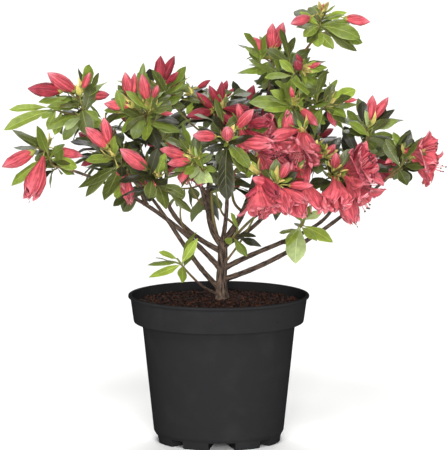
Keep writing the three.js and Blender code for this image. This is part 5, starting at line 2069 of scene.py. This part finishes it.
MASSES = {
    "left": (Shoot((-109, -50, 309), SHADY, 4, (
        (BUD, 132, 10, 41, 32), (BUD, 106, 5, 40, 29), (SLIM, -71, 10, 39, 25)), (
        (83, 40, 28, 12, LIME), (-101, 30, 53, 20, MID), (-136, 0, 51, 14), (-122, -15, 57, 13),
        (-86, -20, 52, 14), (12, 0, 26, 13), (-170, 30, 33, 13))),),
    "far_left": (Shoot((-179, -20, 315), MIXED, 4, (
        (BUD, -152, 0, 52, 37), (LIMP, -107, 20, 58, 45), (SLIM, -20, -15, 42, 32)), (
        (157, 15, 34, 13), (-130, 10, 59, 14), (-103, -15, 62, 13), (-37, 0, 40, 14), (-24, -20, 41, 12),
        (-68, -40, 50, 12))),),
    "upper_left": (Shoot((-146, 8, 367), MIXED, 4, (
        (BUD, 175, 10, 54, 36), (BUD, 147, 15, 40, 36), (SLIM, 60, 30, 29, 22), (BUD, -8, -25, 36, 25)), (
        (-166, 0, 44, 14), (-144, 50, 36, 16), (-108, 10, 53, 12), (-75, 20, 50, 18), (-85, -30, 52, 16),
        (18, -20, 33, 12))),
        Shoot((-178, 20, 350), TENDER, 2, (), (
            (-176, 0, 42, 9), (-154, 15, 54, 15), (-78, 10, 30, 13), (-95, -20, 25, 9), (-124, 45, 18, 9)))),
    "high_left": (Shoot((-72, -22, 351), MIXED, 3, (
        (BUD, 101, 10, 40, 29), (BUD, 73, 30, 34, 17), (SLIM, -7, 0, 25, 14)), (
        (-75, 25, 44, 15), (-34, 0, 41, 14), (-96, 45, 40, 14))),
        Shoot((-91, -14, 355), MIXED, 3, (
            (BUD, 100, 0, 36, 26), (SLIM, 83, -15, 35, 24), (BUD, 173, 15, 29, 28)), (
            (-110, 20, 32, 13), (-86, 15, 35, 13), (74, -20, 47, 8), (-144, -20, 28, 13)))),
    "mid_left": (Shoot((-64, 45, 365), MIXED, 6, (
        (BUD, 83, 0, 37, 30), (SLIM, 65, -15, 41, 31), (SLIM, 45, 20, 32, 21)), (
        (11, 0, 34, 9), (-17, 10, 26, 13), (35, 20, 24, 8), (156, -20, 24, 10), (-110, 20, 28, 13))),),
    "front_left": (Shoot((-63, -95, 293), SHADY, 4, (
        (BUD, 145, 15, 49, 37), (SLIM, -108, 20, 21, 16)), (
        (-75, 10, 37, 15), (-38, 0, 36, 14), (-130, -20, 27, 13), (70, 20, 27, 12), (175, 30, 28, 13))),),
    "centre_left": (Shoot((-30, 75, 360), DEEP, 3, (
        (SLIM, 30, 0, 25, 17),), (
        (172, 0, 24, 10), (-101, 10, 24, 13), (-131, -20, 26, 12))),
        Shoot((1, 85, 350), DEEP, 4, (
            (BUD, 68, 0, 23, 17), (BUD, -149, 20, 32, 27), (SLIM, 39, 0, 20, 15), (LIMP, -41, 30, 26, 19)), (
            (152, 0, 20, 12), (-75, 10, 26, 13), (-9, 0, 28, 12), (-117, -10, 30, 13)))),
    "low_front": (Shoot((-24, -72, 308), MIXED, 3, (
        (BUD, 167, 15, 39, 28), (BUD, -167, 20, 31, 26), (SLIM, -123, 30, 33, 22), (SLIM, -76, 20, 32, 24)), (
        (-150, 0, 29, 10), (-126, -30, 31, 13, PALE), (-64, 30, 29, 14, PALE), (90, -30, 24, 12),
        (130, -20, 27, 10))),),
    "centre_front": (Shoot((9, -88, 330), SHADY, 3, (
        (BUD, 170, 30, 42, 28), (BUD, 85, 65, 30, 30), (BUD, 49, 10, 41, 27), (LIMP, -6, 20, 45, 35)), (
        (124, 20, 30, 12), (-90, 10, 64, 19, DARK), (-49, 10, 56, 13, FRESH), (-59, 40, 50, 13),
        (-150, -10, 27, 13), (-50, 50, 42, 13, LIME))),),
    "high_right": (Shoot((55, 25, 403), SUNLIT, 4, (
        (BUD, 135, 10, 31, 25), (BUD, 90, 0, 35, 29), (BUD, 71, -10, 38, 30)), (
        (161, 0, 30, 12), (-153, 10, 37, 13), (-73, 45, 46, 20, LIME), (-111, -20, 32, 13),
        (-45, 20, 32, 13))),
        Shoot((87, -16, 393), SUNLIT, 2, (
            (BUD, 109, 20, 20, 16), (SLIM, 20, 10, 21, 16), (BUD, 127, 60, 26, 24)), (
            (15, -20, 34, 10), (2, 10, 32, 12), (-43, 0, 24, 12), (-55, -10, 28, 13), (-103, 30, 28, 13)))),
    "top": (Shoot((107, -8, 450), SUNLIT, 3, (
        (BUD, -168, 35, 41, 26), (BUD, -8, 0, 51, 27), (SLIM, 84, 20, 12, 10)), (
        (-132, 25, 41, 14, LIME), (-31, 15, 48, 18, FRESH), (-36, -15, 55, 15, FRESH),
        (-47, -10, 55, 14, MID), (-97, 30, 38, 14, LIME), (-70, 20, 39, 14, LIME),
        (-124, -30, 37, 13, DARK))),),
    "front_high": (Shoot((78, -45, 362), SUNLIT, 2, (
        (BUD, -43, 15, 35, 26), (SLIM, 104, 20, 19, 16)), (
        (179, 10, 48, 18, FRESH), (-168, 25, 36, 16, LIME), (-124, 20, 32, 14), (153, 0, 28, 12))),
        Shoot((113, -40, 360), SUNLIT, 3, (
            (BUD, -75, 20, 26, 22), (SLIM, 10, 10, 31, 15)), (
            (27, 0, 32, 18, LIME), (-34, 20, 29, 15, FRESH), (72, -10, 21, 12), (160, 40, 32, 13)))),
    "far_right": (Shoot((191, -5, 308), SHADY, 4, (
        (SLIM, -144, 20, 24, 20), (OPEN, 2, 25, 33, 32), (OPEN, -30, 0, 41, 31), (SLIM, -121, 0, 27, 15)), (
        (68, 0, 23, 12), (-42, -40, 33, 13), (117, -20, 21, 12), (-100, -30, 34, 13), (-160, -20, 27, 13))),),
    "right": (Shoot((122, -80, 294), SHADY, 3, (
        (OPEN, 27, 30, 36, 31), (OPEN, -23, 20, 36, 30), (LIMP, -72, 10, 54, 44), (BUD, -106, 10, 46, 26),
        (BUD, 96, 40, 30, 24)), (
        (58, 0, 28, 13), (-132, -10, 27, 13), (0, -30, 45, 13), (-74, -20, 28, 14))),),
    "upper_right": (Shoot((157, 20, 332), MIXED, 5, (
        (BUD, 80, 0, 31, 28), (SLIM, 54, -15, 36, 30)), (
        (8, 0, 31, 13), (-28, 10, 38, 13), (106, 20, 22, 9), (-168, 0, 22, 13), (-74, 10, 27, 13))),),
    "low_centre": (Shoot((60, -105, 287), SHADY, 2, (
        (LIMP, -153, 15, 33, 26), (LIMP, -117, 25, 34, 28), (LIMP, -72, 20, 35, 28), (LIMP, -34, 10, 35, 27),
        (SLIM, -3, 15, 38, 27), (BUD, 166, 30, 30, 24), (BUD, 62, 35, 30, 24)), (
        (146, -20, 22, 13), (23, -20, 24, 13), (93, 10, 24, 13), (-176, -30, 36, 13))),),
    "centre_right": (Shoot((111, -60, 309), SHADY, 3, (
        (OPEN, -176, 15, 30, 28), (SLIM, 153, 25, 48, 23), (BUD, 138, 50, 36, 24), (BUD, 51, 40, 20, 18)), (
        (-115, 0, 22, 13), (51, 0, 24, 13), (160, -30, 33, 13), (117, 10, 26, 13))),),
    "low_left": (Shoot((-43, -50, 200), TENDER, 2, (), (
        (159, 10, 21, 9), (-167, 0, 32, 11), (-149, 25, 38, 11), (-78, 30, 28, 11), (45, 0, 30, 10))),),
    "low_right": (Shoot((89, -58, 244), WAN, 1, (), (
        (-102, 20, 50, 26, PALE), (-119, 0, 35, 9), (-146, -20, 34, 8))),),
    "inner": (Shoot((20, -25, 228), SHADY, 0, (), (
        (114, 10, 19, 8), (-72, 10, 31, 12), (-24, 0, 21, 6), (-127, -20, 22, 10))),),
    "rear_left": (Shoot((-123, 86, 297), DEEP, 11, (
        (BUD, 150, -40, 40, 30), (BUD, 60, -55, 38, 29), (SLIM, -140, -30, 36, 24))),),
    "rear_mid_left": (Shoot((-57, 126, 311), DEEP, 11, (
        (BUD, 120, -35, 40, 30), (LIMP, 40, -60, 42, 31), (SLIM, -30, -45, 36, 24))),),
    "rear_centre": (Shoot((25, 140, 326), DEEP, 11, (
        (BUD, 70, -30, 40, 30), (BUD, 140, -55, 38, 29), (OPEN, 0, -60, 36, 30))),),
    "rear_right": (Shoot((96, 118, 303), DEEP, 11, (
        (BUD, 90, -40, 40, 30), (SLIM, 20, -35, 36, 24), (LIMP, -60, -50, 40, 30))),),
    "rear_far_right": (Shoot((151, 82, 285), DEEP, 11, (
        (BUD, 40, -30, 40, 30), (OPEN, -10, -45, 36, 30), (SLIM, 110, -35, 34, 24))),),
    "rear_high": (Shoot((72, 77, 368), DEEP, 10, ((BUD, 100, -20, 38, 29), (BUD, 50, -50, 38, 29))),),
}

# Shoots that the solids leave out: the bough, the place on it that each forks from, and its row.
FINER = (
    ("centre_left", 0.86, Shoot((2, 62, 346), DEEP, 1, (
        (SLIM, 118, 20, 28, 26), (LIMP, -5, 15, 30, 26), (BUD, -165, 20, 40, 30), (LIMP, -38, 25, 38, 28),
        (WILT, -75, 30, 28, 26), (SLIM, 150, 0, 30, 26), (SLIM, 85, 10, 28, 26)))),
    ("centre_left", 0.8, Shoot((-52, 60, 352), DEEP, 3, ((BUD, 70, 10, 28, 26), (SLIM, 120, 15, 30, 26)))),
    ("centre_left", 0.5, Shoot((-46, 34, 262), DEEP, 5)),
    ("centre_left", 0.42, Shoot((-18, 40, 256), DEEP, 6)),
    ("centre_left", 0.6, Shoot((2, 44, 284), DEEP, 5, ((WILT, -60, 30, 28, 28),))),
    ("centre_left", 0.55, Shoot((-30, 30, 300), DEEP, 5, ((WILT, -90, 10, 30, 28), (LIMP, -140, 0, 30, 28)))),
    ("top", 0.98, Shoot((107, -9, 449), SUNLIT, 0, (), (
        (8, 15, 27, 9, LIME), (-14, -20, 32, 11, FRESH), (170, 10, 24, 8, LIME), (-158, 30, 34, 12, FRESH),
        (-92, 15, 28, 10, LIME)))),
    ("upper_left", 0.7, Shoot((-118, 4, 346), MIXED, 6)),
    ("upper_left", 0.9, Shoot((-150, 0, 347), MIXED, 0, (), (
        (-118, 25, 42, 14, PALE), (-96, 0, 46, 14), (-60, 25, 42, 15), (-150, 30, 38, 13, FRESH),
        (-30, 0, 34, 13)))),
    ("low_front", 0.95, Shoot((-22, -77, 305), SUNLIT, 0, (), (
        (-85, 35, 36, 12, PALE), (-112, 40, 33, 11, PALE), (-55, 35, 30, 11, PALE), (-30, 20, 26, 9, FRESH),
        (-140, 30, 27, 10, FRESH), (100, 10, 16, 6, PALE)))),
    ("low_right", 0.97, Shoot((90, -59, 245), WAN, 0, (), (
        (160, 10, 18, 9, FRESH), (115, 20, 15, 8, PALE), (65, 10, 14, 8, FRESH), (15, 10, 18, 9, PALE),
        (-65, 10, 28, 10, FRESH), (-125, 20, 38, 11, FRESH)))),
    ("high_left", 0.62, Shoot((-74, 30, 286), DEEP, 6, ((LIMP, -100, 20, 32, 30),))),
    ("high_left", 0.55, Shoot((-92, 20, 272), SHADY, 5)),
    ("high_left", 0.8, Shoot((-60, 10, 318), DEEP, 5, ((BUD, -30, 20, 34, 28),))),
    ("left", 0.7, Shoot((-98, -40, 292), SHADY, 4, ((LIMP, -80, 10, 33, 30),))),
    ("centre_front", 0.9, Shoot((24, -74, 344), SHADY, 1, (
        (LIMP, 5, 30, 32, 28), (SLIM, 100, 25, 24, 24), (LIMP, -40, 30, 44, 36), (WILT, -75, 10, 30, 26)))),
    ("centre_front", 0.7, Shoot((42, -60, 312), SHADY, 1, (
        (WILT, -10, 35, 30, 32), (LIMP, -70, 5, 28, 28), (WILT, 80, -10, 24, 28)), (
        (-140, 30, 32, 11, PALE), (-112, 40, 34, 12, FRESH)))),
    ("centre_front", 0.55, Shoot((14, -30, 282), DEEP, 6)),
    ("low_centre", 0.97, Shoot((40, -106, 298), SHADY, 0, (
        (OPEN, -86, 15, 42, 34), (LIMP, -50, 25, 34, 30)))),
    ("low_centre", 0.92, Shoot((54, -94, 286), SHADY, 0, (
        (LIMP, -104, 10, 38, 30), (WILT, -66, 20, 32, 34)))),
    ("low_centre", 0.9, Shoot((82, -80, 300), SHADY, 0, (
        (LIMP, -100, 30, 36, 34), (WILT, -75, 5, 48, 38), (OPEN, 165, 25, 22, 32)))),
    ("centre_right", 0.92, Shoot((86, -72, 338), SHADY, 0, (
        (LIMP, -165, 20, 34, 30), (OPEN, -100, 30, 36, 36), (LIMP, -65, 10, 28, 28)))),
    ("centre_right", 0.85, Shoot((66, -56, 324), SHADY, 2, (
        (OPEN, 150, 20, 28, 32), (LIMP, -120, 10, 38, 32), (LIMP, 75, 0, 28, 28)))),
    ("centre_right", 0.9, Shoot((100, -66, 316), SHADY, 0, ((OPEN, -160, 35, 30, 38),))),
    ("right", 0.93, Shoot((119, -82, 292), SHADY, 0, ((WILT, -88, 35, 38, 34),))),
    ("right", 0.9, Shoot((132, -78, 290), SHADY, 0, (
        (OPEN, 30, 25, 30, 34), (OPEN, -58, 20, 34, 36), (WILT, -20, 35, 30, 32)))),
    ("far_right", 0.9, Shoot((205, -10, 303), SHADY, 0, ((WILT, -25, 25, 24, 26), (LIMP, -62, 0, 28, 24)))),
    ("rear_centre", 0.7, Shoot((40, 116, 300), DEEP, 4, (
        (WILT, -60, -40, 30, 32), (OPEN, 20, -50, 32, 34), (BUD, 90, -20, 36, 30)))),
    ("rear_right", 0.7, Shoot((68, 98, 318), DEEP, 4, ((WILT, 120, -40, 28, 32), (WILT, -20, -50, 34, 34)))),
    ("rear_left", 0.75, Shoot((-86, 92, 318), SHADY, 5, (
        (BUD, 60, -30, 38, 30), (BUD, 130, -20, 38, 30), (LIMP, -40, -45, 36, 32)))),
)

STEMS = tuple(StemRow(*row) for row in (
    ("trunk", 0.75, (-6, 10, 236), (-8, 28, 288), 1.9),
    ("trunk", 0.9, (22, 6, 232), (38, 14, 272), 1.9),
    ("trunk", 0.55, (24, -10, 214), (46, -22, 256), 1.3),
    ("trunk", 0.82, (33, 4, 232), (62, 8, 252), 1.7),
    ("centre_left", 0.3, (-22, 24, 252), (-34, 26, 276), 1.3),
    ("high_right", 0.12, (4, 2, 240), (-4, -4, 268), 1.3),
    ("high_right", 0.2, (16, 20, 250), (12, 34, 290), 1.6),
    ("far_left", 0.25, (-40, 0, 236), (-38, 4, 262), 1.1),
))


# ---------------- studio


@dataclass
class Studio:
    """The pale floor, the soft lights and the camera."""

    target: Triple = (0.005, 0.0, 0.2281)
    distance: float = 4.5
    elevation: float = 7.8
    lens: float = 344.1
    sensor: float = 36.0
    floor_half: float = 40.0
    floor_colour: str = "#F8F8F7"
    sky: float = 0.16
    # The point that every lamp faces, and each lamp's place, width and power in watts.
    lit: Triple = (0.0, 0.0, 0.25)
    lamps: dict[str, tuple[Triple, float, float]] = field(default_factory=lambda: {
        "key_softbox": ((-0.4, -4.7, 5.3), 2.6, 270.0),
        "front_fill": ((0.3, -6.4, 1.3), 2.2, 470.0),
        "top_light": ((0.2, 6.0, 7.5), 7.0, 800.0)})

    def floor(self) -> None:
        """Builds the plain pale floor at the pot's foot."""
        half = self.floor_half
        mesh = make_mesh("floor", [(-half, -half, 0), (half, -half, 0), (half, half, 0), (-half, half, 0)],
                         [(0, 1, 2, 3)])
        sockets = {"Specular IOR Level": 0.0, "Base Color": linear(self.floor_colour)}
        mesh.materials.append(Finish("pale_studio_floor", 0.9).start(sockets)[0])
        add_object("floor", mesh)

    def place(self, name: str, data: bpy.types.ID, spot: Vector, facing: Vector) -> Object:
        """Puts a lamp or the camera into the scene.

        Args:
            name: Its name.
            data: The lamp or the camera.
            spot: Where it stands.
            facing: The direction that it faces.

        Returns:
            Its object.
        """
        thing = bpy.data.objects.new(name, data)
        thing.location, thing.rotation_euler = spot, facing.to_track_quat("-Z", "Y").to_euler()
        bpy.context.scene.collection.objects.link(thing)
        return thing

    def build(self) -> None:
        """Builds the whole studio, with the camera a little above the plant, straight in front."""
        scene = bpy.context.scene
        self.floor()
        for name, (spot, size, power) in self.lamps.items():
            light = bpy.data.lights.new(name, "AREA")
            light.shape, light.size, light.energy = "SQUARE", size, power
            self.place(name, light, Vector(spot), Vector(self.lit) - Vector(spot))
        scene.world = bpy.data.worlds.new("studio_air")
        scene.world.use_nodes = True
        tree = scene.world.node_tree
        feed(tree, tree.nodes["Background"], {"Color": (1.0, 1.0, 1.0, 1.0), "Strength": self.sky})
        scene.view_settings.view_transform = "Standard"
        rise = math.radians(self.elevation)
        away = Vector((0, -math.cos(rise), math.sin(rise))) * self.distance
        data = bpy.data.cameras.new("camera")
        data.lens, data.sensor_width = self.lens, self.sensor
        scene.camera = self.place("camera", data, Vector(self.target) + away, -away)


def main() -> None:
    """Builds the potted azalea and its studio."""
    logging.basicConfig(level=logging.INFO, format="%(name)s: %(message)s")
    Studio().build()
    NurseryPot().build()
    PeatBed().build()
    sweep, scatter = Sweep(), Scatter()
    limbs = Limbs(LIMBS)
    limbs.grow()
    limbs.build(sweep)
    crown = Crown(limbs, MASSES, FINER, STEMS)
    crown.grow()
    crown.build(scatter, sweep)


if __name__ == "__main__":
    main()
